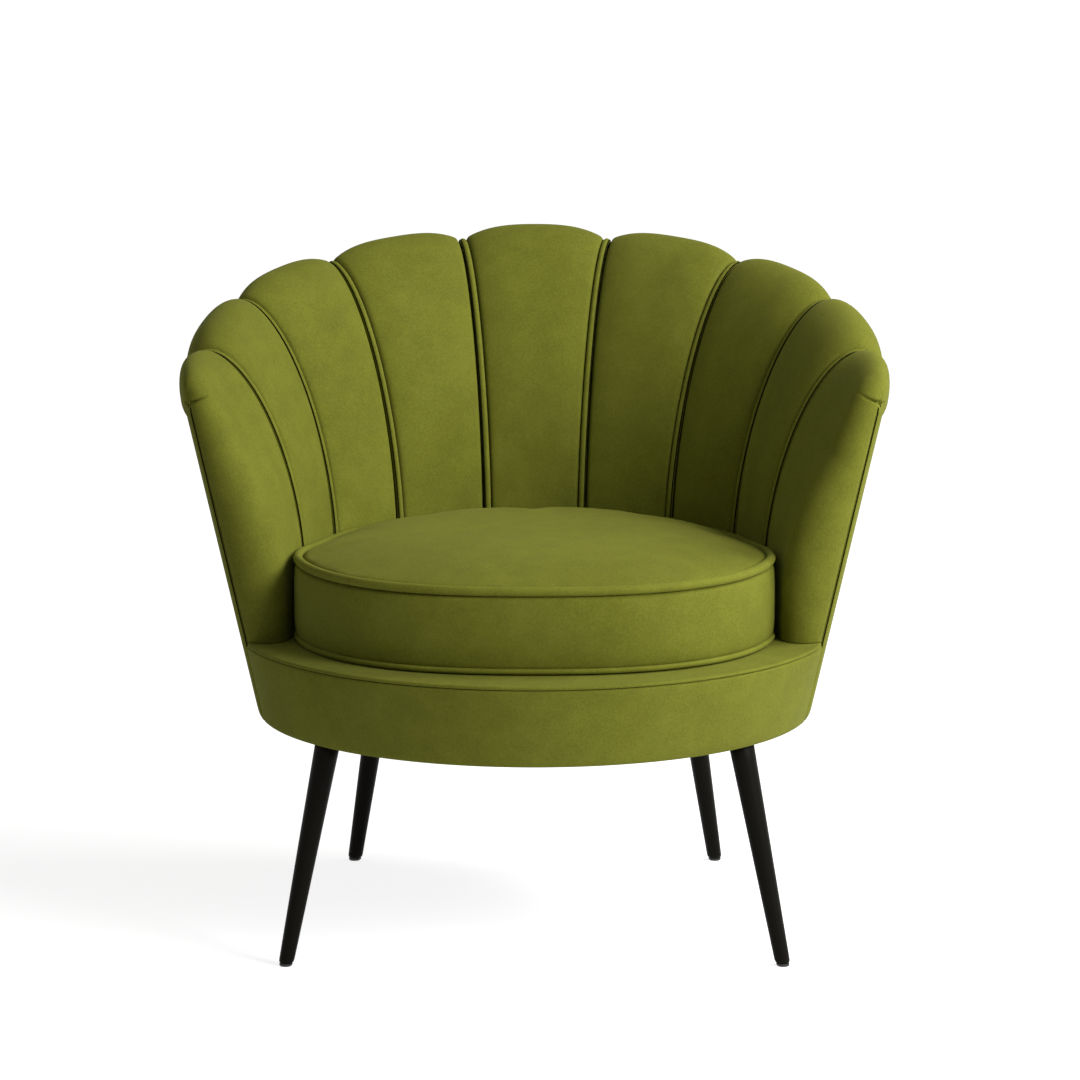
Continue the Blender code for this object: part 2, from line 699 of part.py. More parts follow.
    def build_back_frame(self):
        """Lower rail on the base, posts, top rail under the rim, and the board behind the channels."""
        inner = SEAM_RADIUS + PAD_DEPTH + BOARD_CLEARANCE + BOARD_THICKNESS + GAP
        outer = outside_radius(WEBBING_BOTTOM) - PANEL_THICKNESS - RAIL_CLEARANCE
        rail_top = WEBBING_BOTTOM + RAIL_HEIGHT
        corners = ((inner, WEBBING_BOTTOM), (outer, WEBBING_BOTTOM), (outer, rail_top), (inner, rail_top))
        edit = bmesh.new()
        face = edit.faces.new([edit.verts.new(polar(-RAIL_TURN, *corner)) for corner in corners])
        profile = [face, *face.edges, *face.verts]
        down, swing = (0.0, 0.0, -1.0), 2.0 * RAIL_TURN
        bmesh.ops.spin(edit, geom=profile, cent=(0.0, 0.0, 0.0), axis=down, angle=swing, steps=RAIL_STEPS)
        self.add("back_rail_lower", edit, self.plywood)

        def top_rail(turn):
            """Inner and outer radius and top height of the top rail."""
            radius, height = seam_line(turn, CREST_SHARE, deep=True)
            outside = radius + TOP_RAIL_OUTWARD
            return outside - TOP_RAIL_WIDTH, outside, height - TOP_RAIL_BELOW_PAD

        def rail_surface(drop):
            def point(across, share):
                turn = lerp(-TOP_RAIL_TURN, TOP_RAIL_TURN, across)
                inside, outside, height = top_rail(turn)
                return polar(turn, lerp(inside, outside, share), height - drop)

            return point

        rail = slab(TOP_RAIL_COLUMNS, 1, rail_surface(0.0), rail_surface(TOP_RAIL_HEIGHT))
        self.add("back_rail_upper", rail, self.plywood)

        def board_surface(depth):
            def point(across, share):
                turn = lerp(-BOARD_TURN, BOARD_TURN, across)
                radius, height = seam_line(turn, share * BOARD_ROWS / CHANNEL_ROWS, deep=True)
                return polar(turn, radius + BOARD_CLEARANCE + depth, height)

            return point

        board = slab(BOARD_COLUMNS, BOARD_ROWS, board_surface(0.0), board_surface(BOARD_THICKNESS))
        self.add("back_board", board, self.fibreboard)

        turns = {"back_post_centre": 0.0, "arm_post_left": -ARM_POST_TURN, "arm_post_right": ARM_POST_TURN}
        for name, turn in turns.items():
            edit = bmesh.new()
            bmesh.ops.create_cube(edit, size=1.0)
            for vert in edit.verts:
                radius, height = 0.5 * (inner + outer), rail_top + GAP
                if vert.co.z > 0.0:
                    inside, outside, _ = top_rail(turn)
                    radius = 0.5 * (inside + outside)
                    corner_turn = turn + POST_SIZE * vert.co.x / radius
                    height = top_rail(corner_turn)[2] - TOP_RAIL_HEIGHT - 2.0 * GAP
                foot = polar(turn, radius + POST_SIZE * vert.co.y, height)
                vert.co = foot + polar(turn + 0.5 * math.pi, POST_SIZE * vert.co.x, 0.0)
            self.add(name, edit, self.plywood)

    def add_cushion_piece(self, name, profile, material):
        """Turns a profile and eases its round plan to the cushion's outline."""
        edit = turned(profile, CUSHION_STEPS)
        for vert in edit.verts:
            turn = math.atan2(vert.co.x, vert.co.y)
            scale = cushion_plan(turn) / CUSHION_HALF
            vert.co.x *= scale
            vert.co.y *= scale
        self.add(name, edit, material, self.lift)

    def build_cushion(self):
        """Loose box cushion: foam core, top and bottom panels, boxing band and two welts.

        Heights are above the cushion's own underside.
        """
        top_welt = CUSHION_HALF - TOP_WELT_RADIUS, CUSHION_HEIGHT - TOP_WELT_RADIUS
        bottom_welt = CUSHION_HALF - BOTTOM_WELT_RADIUS, BOTTOM_WELT_RADIUS
        section = circle_profile(*top_welt, TOP_WELT_RADIUS, WELT_SIDES)
        self.add_cushion_piece("cushion_welt_top", section, self.piping)
        section = circle_profile(*bottom_welt, BOTTOM_WELT_RADIUS, WELT_SIDES)
        self.add_cushion_piece("cushion_welt_bottom", section, self.piping)

        panel_radius = top_welt[0] - TOP_WELT_RADIUS - GAP

        def crown(radius, depth):
            rise = 1.0 - (radius / panel_radius) ** CUSHION_CROWN_POWER
            return top_welt[1] + COVER_THICKNESS + CUSHION_CROWN * rise - depth

        radii = [panel_radius * share for share in (0.0, 0.35, 0.6, 0.78, 0.91, 1.0)]
        upper = [(radius, crown(radius, 0.0)) for radius in radii]
        lower = [(radius, crown(radius, COVER_THICKNESS)) for radius in reversed(radii)]
        self.add_cushion_piece("cushion_top", upper + lower, self.velvet)

        base_radius = bottom_welt[0] - BOTTOM_WELT_RADIUS - GAP
        bottom = [(0.0, COVER_THICKNESS), (base_radius, COVER_THICKNESS), (base_radius, 0.0), (0.0, 0.0)]
        self.add_cushion_piece("cushion_bottom", bottom, self.velvet)

        band_low = bottom_welt[1] + BOTTOM_WELT_RADIUS + GAP
        band_high = top_welt[1] - TOP_WELT_RADIUS - GAP
        band_middle = 0.5 * (band_low + band_high)
        band_radius = CUSHION_HALF - BAND_BULGE

        def band_side(inset):
            return [
                (band_radius - inset, band_high),
                (band_radius + 0.75 * BAND_BULGE - inset, lerp(band_middle, band_high, 0.5)),
                (band_radius + BAND_BULGE - inset, band_middle),
                (band_radius + 0.75 * BAND_BULGE - inset, lerp(band_middle, band_low, 0.5)),
                (band_radius - inset, band_low),
            ]

        band = band_side(0.0) + band_side(COVER_THICKNESS)[::-1]
        self.add_cushion_piece("cushion_band", closed(band), self.velvet)

        under = COVER_THICKNESS + GAP
        core_top = [(radius, crown(radius, under)) for radius in radii[:-1]]
        shoulder = panel_radius - GAP
        core_shoulder = [(shoulder, crown(shoulder, under)), (shoulder, band_high)]
        core_foot = [(base_radius, band_low), (base_radius, under), (0.0, under)]
        core = core_top + core_shoulder + band_side(under) + core_foot
        self.add_cushion_piece("cushion_core", core, self.foam)

    def stand_over_origin(self):
        """Moves the chair along Y so that the middle of its depth is over the origin."""
        bpy.context.view_layer.update()
        depsgraph = bpy.context.evaluated_depsgraph_get()
        depths = []
        for part in self.parts.objects:
            if part.type == "EMPTY":
                continue
            evaluated = part.evaluated_get(depsgraph)
            mesh = evaluated.to_mesh()
            depths += [(part.matrix_world @ vert.co).y for vert in mesh.vertices]
            evaluated.to_mesh_clear()
        self.root.location.y = -0.5 * (min(depths) + max(depths))


def main():
    for old in list(bpy.data.objects):
        bpy.data.objects.remove(old)
    chair = Chair()
    lower_ring = chair.build_ring("base_ring_lower", LOWER_RING_BOTTOM, LOWER_RING_TOP)
    chair.build_ring("base_ring_upper", UPPER_RING_BOTTOM, UPPER_RING_TOP)
    dust_cover = chair.build_dust_cover()
    chair.build_legs((lower_ring, dust_cover))
    chair.build_webbing()
    chair.build_deck()
    chair.build_outside()
    chair.build_channels()
    chair.build_back_frame()
    chair.build_cushion()
    chair.stand_over_origin()


main()
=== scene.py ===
"""Looks of the scallop-back tub chair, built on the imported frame.

Metres, +Z up. The chair faces -Y, and left is -X. A turn is an angle about the upright centre line
of the base, from the back (+Y) towards +X. A share runs along a channel, from the seat over the rim
to the tuck line on the outside, and across runs from one seam of a channel to the other.
"""

import math

import bmesh
import bpy
import numpy as np
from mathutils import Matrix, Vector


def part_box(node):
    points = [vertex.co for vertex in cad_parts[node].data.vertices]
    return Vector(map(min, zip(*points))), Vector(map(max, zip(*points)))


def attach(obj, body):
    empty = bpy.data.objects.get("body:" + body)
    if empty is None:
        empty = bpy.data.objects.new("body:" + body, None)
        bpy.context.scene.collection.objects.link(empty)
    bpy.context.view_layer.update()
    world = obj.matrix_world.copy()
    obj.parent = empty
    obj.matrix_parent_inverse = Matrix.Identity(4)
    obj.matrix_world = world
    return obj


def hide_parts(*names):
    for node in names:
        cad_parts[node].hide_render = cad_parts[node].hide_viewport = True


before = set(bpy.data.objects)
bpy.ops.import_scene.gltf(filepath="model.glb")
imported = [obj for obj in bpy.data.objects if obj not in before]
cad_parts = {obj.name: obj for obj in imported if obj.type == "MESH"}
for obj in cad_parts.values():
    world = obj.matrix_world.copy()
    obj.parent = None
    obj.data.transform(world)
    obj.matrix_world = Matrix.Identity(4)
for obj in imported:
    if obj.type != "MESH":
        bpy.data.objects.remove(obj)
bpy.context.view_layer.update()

CHAIR = "chair"
CUSHION = "cushion"
SIDES = (("left", -1.0), ("right", 1.0))

# Sizes of the frame that the looks are built on
GAP = 0.0003
BASE_BOTTOM = 0.2405
BASE_RADIUS = 0.3098
FLARE = 0.2275
HEM_WIDTH = 0.012
HEM_ROUND = 0.0038
DECK_TOP = 0.333
DECK_SEAM = 0.329
CHANNEL_TURN = math.radians(24.4)
ARM_SEAM = 3.5 * CHANNEL_TURN
ARM_EDGE = math.radians(103.0)
SEAM_RADIUS = 0.2585
FLARE_START = 0.399
FLARE_POWER = 1.7
RIM_HEIGHT = 0.728
RIM_FALL = 0.085
RIM_POWER = 1.68
ARM_STEEPEN = 0.144
RIM_INSET = 0.016
RIM_DROP = 0.036
RIM_OVERHANG = -0.004
PAD_DEPTH = 0.028
PAD_RISE = 0.024
LIP_THICKNESS = 0.010
KNEE_SHARE = 0.12
CREST_SHARE = 0.76
ARM_EDGE_INSET = 0.0065
ARM_WALL_TURN = math.radians(4.0)
ARM_WALL_FOLD = 0.005
ARM_WALL_CLEARANCE = 0.0015
CHANNEL_BOTTOM = DECK_TOP + GAP
CUSHION_HALF = 0.2715
CUSHION_SQUARENESS = 2.4
CUSHION_REAR_RADIUS = 0.2532
CUSHION_REAR_TURN = math.radians(78.0)
CUSHION_FRONT_TURN = math.radians(106.0)
CUSHION_BOTTOM = DECK_TOP + GAP
CUSHION_HEIGHT = 0.0963
CUSHION_CROWN = 0.018
CUSHION_LOW = 0.0025
LEG_FOOT_RADIUS = 0.350
LEG_TOP_RADIUS = 0.2905
LEG_TURNS = {"front": math.radians(129.0), "back": math.radians(37.5)}
LEG_FOOT_HALF = 0.0085
LEG_TOP_HALF = 0.0140
LEG_TOP = BASE_BOTTOM - GAP
LEG_BOTTOM = 0.0033
STUD_BORE = 0.0043
STUD_BOTTOM = LEG_TOP - 0.030

# Legs
LEG_EDGE = 0.0006
LEG_TIP = 0.0045
LEG_TIP_ROUND = 0.55
LEG_STEPS = 48

# Welts between the channels, and dark lines beside them that are painted shade for the shadow in the ditch
# by each cord
WELT_RADIUS = 0.0038
WELT_SUNK = 0.0016
WELT_ASIDE = 0.0010
OUTER_SHADOW_LINE = 0.0007
INNER_SHADOW_LINE = 0.0005
SHADOW_LINE_LEANS = tuple(math.radians(lean) for lean in (62.0, 56.0, 51.0, 72.0))
INNER_LEAN = math.radians(64.0)
WELT_START = 0.01
WELT_END = 0.985
WELT_POINTS = 64

# Channels
SEAM_GAP = 0.0004
CROWN_SEAT = 0.004
CROWN_BACK = 0.011
CROWN_RIM = 0.015
CROWN_TUCK = 0.008
CROWN_POWER = 2.4
RIM_CROWN_POWER = 3.3
SEAM_SPREAD = math.radians(1.0)

# Arm fronts
ARM_INSET = 0.010
ARM_INSET_START = math.radians(35.0)
ARM_WALL_FACING = math.radians(-80.0)
ARM_EDGE_FACING = math.radians(72.0)
ARM_ROUND_SHARE = 0.52
ARM_TOP_ROUND = 0.25
ARM_TOP_CROWN = 0.006
ARM_TUCK_RISE = 0.012
ARM_TUCK_CROWN = 0.006
ARM_CREST_OUT = 0.008
ARM_DOME_START = 0.735
ARM_DOME_END = 0.90
ARM_CORNER_RISE = 0.0010
ARM_SEAM_SINK = 0.0035
ARM_FOOT_SINK = 0.0012
ARM_FOOT_SHARE = 0.01
ARM_FOOT_ROWS = (0.003, 0.008)
ARM_EDGE_SHY = 0.0008
ARM_TUCK_SHY = 0.0028
ARM_CREST_POWER = 0.8
ARM_CROWN_START = 0.35
ARM_SHALLOW_START = 0.66
ARM_EASE_STEPS = 90
ARM_EASE_SPAN = 0.10
ARM_EASE_SEAM = 0.2
ARM_EASE_EDGE = 0.1
ARM_COLUMNS = 46
ARM_COLUMN_LEAN = 0.15
ARM_FULLNESS = 1.25
ARM_DOME_ROWS = 60
ARM_DOME_LEAD = 0.10
ARM_DOME_TRAIL = 0.01
ARM_FINE_LEAD = 0.05
ARM_FINE_TRAIL = 0.02
ARM_FINE_STEP = 1.0 / 3.0
DART_TIP = np.array([0.3830, 0.6010])
DART_END = np.array([0.3500, 0.6140])
DART_DEPTH = 0.0075
DART_WIDTH = 0.0013
DART_FADE = 0.04

# Rows and columns of the covers
CHANNEL_ROWS = 76
INNER_COLUMNS = 20
# Distance from the seam and depth of a cover's edge, where it dives beside a welt and closes under it
EDGE_DISTANCES = (0.0, 0.0026, 0.0041, 0.0049, 0.0060, 0.0080, 0.0110)
EDGE_DEPTHS = (0.0088, 0.0082, 0.0064, 0.0034, 0.0011, 0.0002, 0.0)
SKIRT_ROWS = (*np.linspace(0.0, 0.94, 24), 0.97, 0.99, 1.0)
SKIRT_EDGE_SHARES = (0.0, 0.004, 0.012)
CUSHION_TOP_ROWS = (*np.linspace(0.06, 0.93, 20), 0.955, 0.972, 0.982, 0.991, 1.0)
CUSHION_BAND_ROWS = (0.0, 0.02, 0.04, 0.08, *np.linspace(0.15, 0.85, 12), 0.92, 0.96, 0.98, 1.0)
CUSHION_BASE_ROWS = (0.985, 0.9, 0.7, 0.4)
CUSHION_STEPS = 120

# Filling: how hard it presses the covers out, over how many frames and at most how far
PRESSURE = 4.0
LAST_FRAME = 20
SWELL_LIMIT = 0.006

# Outside covers
HEM_SKIN = 0.0005
HEM_THICKNESS = 0.0018
BAND_THICKNESS = 0.010
PANEL_THICKNESS = 0.006
PANEL_BULGE = 0.002
PANEL_TOP_GAP = 0.0008
BAND_COLUMNS = 80
PANEL_COLUMNS = 40
SEWN_DEPTH = 0.0015
SEWN_WIDTH = 0.0025
TOP_SEWN_DEPTH = 0.0008
TOP_SEWN_WIDTH = 0.0015
ARM_WELT_RADIUS = 0.0033
ARM_WELT_ROOM = 0.0035
ARM_WELT_INSET = 0.0030
ARM_WELT_PAST = 0.001
ARM_WELT_TUCK = 0.006
ARM_WELT_TUCK_START = 0.007
ARM_WELT_TUCK_LENGTH = 0.010
ARM_WELT_LIFT = 0.0028
# Where the dark line is painted beside each arm welt, as shade between the welt and the arm pad
ARM_SHADOW_LINE_AHEAD = 0.0030
ARM_SHADOW_LINE_OUT = 0.0011

# Deck and lining
DECK_STEPS = 144
DECK_SHY = 0.0002
DECK_ROUND = 0.0024
DECK_BOTTOM = 0.3165
DECK_REAR_GAP = 0.003
DECK_ARM_OVERLAP = 0.005
DECK_SIDE_TURN = math.radians(86.5)
DECK_SIDE_EASE = math.radians(3.5)
DECK_FRONT_EASE = math.radians(1.5)
# Inset and height of the deck cover's edge, where it is sewn to the front band and runs in under the pad
DECK_SEWN_EDGE = ((0.0, DECK_SEAM + 0.0006), (0.0008, DECK_SEAM), (0.010, DECK_SEAM), (0.012, DECK_BOTTOM))
LINING_LOW = BASE_BOTTOM + 0.0006
LINING_HIGH = BASE_BOTTOM + 0.0014
LINING_MARGIN = 0.001
LINING_STEPS = 96

# Cushion
TOP_WELT = 0.0052
LOW_WELT = 0.0031
LOW_WELT_RISE = 0.001
CUSHION_DIP = 0.007
CUSHION_DIP_TURN = math.radians(70.0)
CUSHION_DIP_EASE = math.radians(32.0)
CUSHION_TOP_INSET = 1.8 * TOP_WELT
CUSHION_CROWN_POWER = 5.5
CUSHION_DIP_POWER = 8
TOP_DIVE_DEPTH = 0.0050
TOP_DIVE_WIDTH = 0.0030
BAND_BULGE = 0.0022
BAND_INSET = 0.0025
BAND_DIVE_DEPTHS = (0.0045, 0.0016)
BAND_DIVE_WIDTH = 0.0018
BASE_EDGE_RISE = 0.0025

# Stage
FLOOR_HALF = 60.0
LAMP_SIZE = 1.3
LAMP_DISTANCE = 2.6
LAMP_AIM = 0.45
CAMERA_ASIDE = 0.0061
CAMERA_DISTANCE = 6.0
CAMERA_HEIGHT = 1.498
CAMERA_TILT = math.radians(10.06)

box_low, box_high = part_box("dust_cover")
AXIS_Y = 0.5 * (box_low[1] + box_high[1])


def polar(turn, radius, height):
    turn, radius, height = np.broadcast_arrays(turn, radius, height)
    return np.stack([radius * np.sin(turn), AXIS_Y + radius * np.cos(turn), height], axis=-1)


def lerp(start, end, share):
    return start + (end - start) * share


def smooth_step(share):
    share = np.clip(share, 0.0, 1.0)
    return share * share * (3.0 - 2.0 * share)


def unit(vectors):
    return vectors / np.maximum(np.linalg.norm(vectors, axis=-1, keepdims=True), 1e-9)


def outside_radius(height):
    return BASE_RADIUS + FLARE * (height - BASE_BOTTOM)


def rim_height(turn):
    back = np.minimum(np.abs(turn), ARM_SEAM) / ARM_SEAM
    arm = np.maximum(np.abs(turn) - ARM_SEAM, 0.0)
    slope = RIM_POWER * RIM_FALL / ARM_SEAM
    return RIM_HEIGHT - RIM_FALL * back**RIM_POWER - arm * (slope + ARM_STEEPEN * arm)


def tuck_height(turn):
    """Where the roll of the rim ends on the outside; it runs out towards the arm's outer edge."""
    ahead = (np.abs(turn) - ARM_SEAM) / (ARM_EDGE - ARM_SEAM)
    return rim_height(turn) - RIM_DROP + ARM_TUCK_RISE * smooth_step(ahead)


def rim_inset(turn):
    """How far the crest of the rim lies inside the outside cover: the roll is wider over the arms."""
    side = (np.abs(turn) - ARM_INSET_START) / (ARM_SEAM - ARM_INSET_START)
    return RIM_INSET + ARM_INSET * smooth_step(side)


def spread(turn, share):
    """The seams fan out slightly towards the rim."""
    fan = np.sin(np.pi * turn / ARM_SEAM) * smooth_step(share / CREST_SHARE)
    return turn + SEAM_SPREAD * np.where(np.abs(turn) < ARM_SEAM, fan, 0.0)


def seam_line(turn, share, deep=False):
    """Radius and height along a seam; the deep line is the back of the padding."""
    crest = rim_height(turn)
    tuck = tuck_height(turn)
    outward = rim_inset(turn)
    crest_radius = outside_radius(tuck) + RIM_OVERHANG - outward
    foot = SEAM_RADIUS
    if deep:
        foot = foot + PAD_DEPTH
        crest = crest - PAD_RISE
        crest_radius = crest_radius + outward - LIP_THICKNESS - (RIM_DROP - PAD_RISE)
        outward = RIM_DROP - PAD_RISE
    bend = 2.0 / FLARE_POWER
    low = np.clip(share / KNEE_SHARE, 0.0, 1.0)
    rise = 0.5 * np.pi * np.clip((share - KNEE_SHARE) / (CREST_SHARE - KNEE_SHARE), 0.0, 1.0)
    roll = 0.5 * np.pi * np.clip((share - CREST_SHARE) / (1.0 - CREST_SHARE), 0.0, 1.0)
    inward = np.maximum(np.cos(rise), 0.0) ** bend
    upward = np.maximum(np.sin(rise), 0.0) ** bend
    radius = crest_radius - (crest_radius - foot) * inward + outward * np.sin(roll)
    height = CHANNEL_BOTTOM + (FLARE_START - CHANNEL_BOTTOM) * low + (crest - FLARE_START) * upward
    return radius, height - (crest - tuck) * (1.0 - np.cos(roll))


def seam_normal(turn, share):
    """Normal of a seam line in its own upright plane: inwards, then up, then outwards."""
    step = 0.01
    low_radius, low_height = seam_line(turn, np.maximum(share - step, 0.0))
    high_radius, high_height = seam_line(turn, np.minimum(share + step, 1.0))
    along_radius, along_height = high_radius - low_radius, high_height - low_height
    length = np.hypot(along_radius, along_height)
    return -along_height / length, along_radius / length


def crown_height(share):
    middle = 0.5 * (KNEE_SHARE + CREST_SHARE)
    low = smooth_step((share - KNEE_SHARE) / (middle - KNEE_SHARE))
    high = smooth_step((share - middle) / (CREST_SHARE - middle))
    end = smooth_step((share - CREST_SHARE) / (1.0 - CREST_SHARE))
    crown = CROWN_SEAT + (CROWN_BACK - CROWN_SEAT) * low + (CROWN_RIM - CROWN_BACK) * high
    return crown + (CROWN_TUCK - CROWN_RIM) * end


def crown_shape(across, share):
    """Fullness across a channel: evenly round at the seat, and broader towards the rim."""
    power = lerp(CROWN_POWER, RIM_CROWN_POWER, smooth_step(share / CREST_SHARE))
    return 1.0 - np.abs(2.0 * across - 1.0) ** power


def cover_columns(width, columns=INNER_COLUMNS, lean=0.0):
    """Shares across covers of the given widths, closer together beside the seams, and their edge dive."""
    width = np.asarray(width, dtype=float).reshape(-1, 1)
    edge = np.array(EDGE_DISTANCES)[None, :] / width
    inner = np.linspace(0.0, 1.0, columns)[None, 1:-1]
    inner = inner + lean * np.sin(np.pi * inner)
    inner = lerp(edge[:, -1:], 1.0 - edge[:, -1:], inner)
    dive = np.array(EDGE_DEPTHS)
    dives = np.concatenate([dive, np.zeros(inner.shape[1]), dive[::-1]])[None, :]
    return np.concatenate([edge, inner, 1.0 - edge[:, ::-1]], axis=1), dives


def channel_grid(start, end, deep):
    share = np.linspace(0.0, 1.0, CHANNEL_ROWS)[:, None]
    radius, _ = seam_line(0.5 * (start + end), share)
    across, dive = cover_columns(radius * (end - start))
    margin = SEAM_GAP / radius
    turn = lerp(start + margin, end - margin, across)
    radius, height = seam_line(turn, share, deep)
    if not deep:
        outward, upward = seam_normal(turn, share)
        crown = crown_height(share) * crown_shape(across, share) - dive
        radius = radius + outward * crown
        height = height + upward * crown
    return polar(spread(turn, share), radius, height)


def arm_edge(share):
    """The arm cover's outer edge: up the front of the edge welt, over its top and down behind it."""
    corner = rim_height(ARM_EDGE) + ARM_CORNER_RISE
    back = np.clip((share - ARM_DOME_END) / (1.0 - ARM_DOME_END), 0.0, 1.0)
    upright = lerp(CHANNEL_BOTTOM, corner, np.minimum(share / ARM_DOME_START, 1.0))
    height = upright + (tuck_height(ARM_EDGE) - corner) * back
    radius = outside_radius(height) - lerp(ARM_EDGE_SHY, ARM_TUCK_SHY, smooth_step(back))
    ahead = SEAM_GAP - (SEAM_GAP + ARM_SEAM_SINK) * smooth_step(2.0 * back)
    return polar(ARM_EDGE + ahead / radius, radius, height)


def deep_arm_edge(share):
    turn = ARM_EDGE - ARM_WALL_TURN
    top = tuck_height(turn)
    upright = lerp(CHANNEL_BOTTOM, top - ARM_WALL_FOLD, np.minimum(share / ARM_DOME_START, 1.0))
    back = np.clip((share - ARM_DOME_END) / (1.0 - ARM_DOME_END), 0.0, 1.0)
    height = upright + ARM_WALL_FOLD * back
    return polar(turn, outside_radius(height) - ARM_EDGE_INSET - ARM_WALL_CLEARANCE, height)


def arm_round(seam, edge, across):
    """How far the arm front stands off the straight line from its seam to its outer edge, seen from above.

    It runs straight forwards from the seam, turns round the front on an arc and ends along the outside.
    """
    first, last = ARM_WALL_FACING, ARM_EDGE_FACING
    wall = np.array([math.cos(first), math.sin(first)])
    arc = np.array([math.sin(last) - math.sin(first), math.cos(first) - math.cos(last)])
    span = edge[..., :2] - seam[..., :2]
    parts = np.linalg.solve(np.stack([wall, arc], axis=1), span[..., None])
    length, radius = np.moveaxis(parts[..., 0], -1, 0)
    walked = across * (length + radius * (last - first))
    facing = first + np.maximum(walked - length, 0.0) / radius
    bend = np.stack([np.sin(facing) - math.sin(first), math.cos(first) - np.cos(facing)], axis=-1)
    reach = np.minimum(walked, length)[..., None] * wall + radius[..., None] * bend
    reach = reach - span * across[..., None]
    return np.concatenate([reach, np.zeros_like(reach[..., :1])], axis=-1)


def arm_patch(across, share, deep):
    """The right arm front without its crown, from the last seam to the outside panel's edge."""

    def on_seam(part):
        radius, height = seam_line(ARM_SEAM, part, deep)
        return polar(ARM_SEAM + SEAM_GAP / radius, radius, height)

    def along_outside(part):
        ends = np.stack([on_seam(np.array(part)), on_edge(np.array(part))])
        turns = np.arctan2(ends[:, 0], ends[:, 1] - AXIS_Y)
        radii = np.hypot(ends[:, 0], ends[:, 1] - AXIS_Y)
        turn = lerp(*turns, across)
        height = lerp(*ends[:, 2], across) + tuck_height(turn) - lerp(*tuck_height(turns), across)
        spare = outside_radius(height) - lerp(*outside_radius(ends[:, 2]), across)
        return polar(turn, lerp(*radii, across) + spare, height) - lerp(*ends, along)

    on_edge = deep_arm_edge if deep else arm_edge
    along = across[..., None]
    under = smooth_step((share - ARM_DOME_END) / (1.0 - ARM_DOME_END))[..., None]
    patch = lerp(on_seam(share), on_edge(share), along)
    if deep:
        return patch + along_outside(1.0) * under
    low = np.minimum(share, ARM_ROUND_SHARE)
    top = np.clip((share - ARM_ROUND_SHARE) / (ARM_DOME_START - ARM_ROUND_SHARE), 0.0, 1.0)
    over = np.clip((share - ARM_DOME_START) / (ARM_DOME_END - ARM_DOME_START), 0.0, 1.0)[..., None]
    full = lerp(ARM_TOP_ROUND, 1.0, np.sqrt(1.0 - top * top))[..., None]
    front = arm_round(on_seam(low), on_edge(low), across) * full
    start, end = on_seam(np.array(ARM_DOME_START)), on_seam(np.array(ARM_DOME_END))
    rounded = (np.sqrt(1.0 - across * across) - (1.0 - across))[..., None]
    fall = start[2] - on_edge(np.array(ARM_DOME_START))[2]
    front = front + np.array([0.0, 0.0, fall]) * rounded * smooth_step(top)[..., None]
    outward = unit((patch + front - np.array([0.0, AXIS_Y, 0.0])) * np.array([1.0, 1.0, 0.0]))
    stretch = ARM_CREST_OUT * np.sin(np.pi * across**ARM_CREST_POWER) * smooth_step(top)
    front = front + outward * stretch[..., None]
    roll = (on_seam(share) - lerp(start, end, over)) * rounded * (over > 0.0) * (over < 1.0)
    side = lerp(along_outside(ARM_DOME_END), along_outside(1.0), under)
    return patch + roll + front * np.cos(0.5 * np.pi * over) + side * np.sin(0.5 * np.pi * over)


def arm_grid(deep):
    """Points of the right arm front, with more rows over its dome."""
    rows = np.linspace(0.0, 1.0, CHANNEL_ROWS)
    dome_rows = np.linspace(ARM_DOME_START - ARM_DOME_LEAD, ARM_DOME_END + ARM_DOME_TRAIL, ARM_DOME_ROWS)
    rows = np.union1d(np.union1d(rows, dome_rows), ARM_FOOT_ROWS)
    chord = np.linalg.norm(arm_edge(rows) - polar(ARM_SEAM, *seam_line(ARM_SEAM, rows)), axis=-1)
    across, dive = cover_columns(ARM_FULLNESS * chord, ARM_COLUMNS, ARM_COLUMN_LEAN)
    share = np.repeat(rows[:, None], across.shape[1], axis=1)
    points = arm_patch(across, share, deep)
    places = np.arange(len(rows))
    fine_shares = (ARM_DOME_START - ARM_FINE_LEAD, ARM_DOME_START + ARM_FINE_TRAIL)
    fine = np.interp(fine_shares, rows, places).astype(int)
    places = np.union1d(places, np.arange(fine[0], fine[1], ARM_FINE_STEP))
    if deep:
        return between_rows(points, places)
    fade = smooth_step((share - CREST_SHARE) / (1.0 - CREST_SHARE))
    crown = ARM_TOP_CROWN * smooth_step((share - ARM_CROWN_START) / (CREST_SHARE - ARM_CROWN_START))
    crown = lerp(crown, ARM_TUCK_CROWN, fade) * crown_shape(across, share)
    points = eased(points + surface_normal(points) * crown[..., None], across, share)
    points = between_rows(points, places)
    across, share = between_rows(across, places), between_rows(share, places)
    dive = np.repeat(dive, len(places), axis=0)
    shallow = 1.0 - smooth_step((share - ARM_SHALLOW_START) / (ARM_DOME_START - ARM_SHALLOW_START))
    dive = np.where(across > 0.5, dive * shallow, dive)
    crease = dart(points) * smooth_step((1.0 - across) / DART_FADE)
    points = points - surface_normal(points) * (dive + crease)[..., None]
    points[..., 2] -= ARM_FOOT_SINK * np.maximum(1.0 - share / ARM_FOOT_SHARE, 0.0)
    return points


def between_rows(values, places):
    """Values at row numbers that may lie between two rows, on smooth curves through the rows."""
    slopes = np.gradient(values, axis=0)
    low = np.clip(places.astype(int), 0, len(values) - 2)
    along = (places - low).reshape((-1,) + (1,) * (values.ndim - 1))
    straight = lerp(values[low], values[low + 1], smooth_step(along))
    return straight + along * (1.0 - along) * ((1.0 - along) * slopes[low] - along * slopes[low + 1])


def surface_normal(points):
    return unit(np.cross(np.gradient(points, axis=1), np.gradient(points, axis=0)))


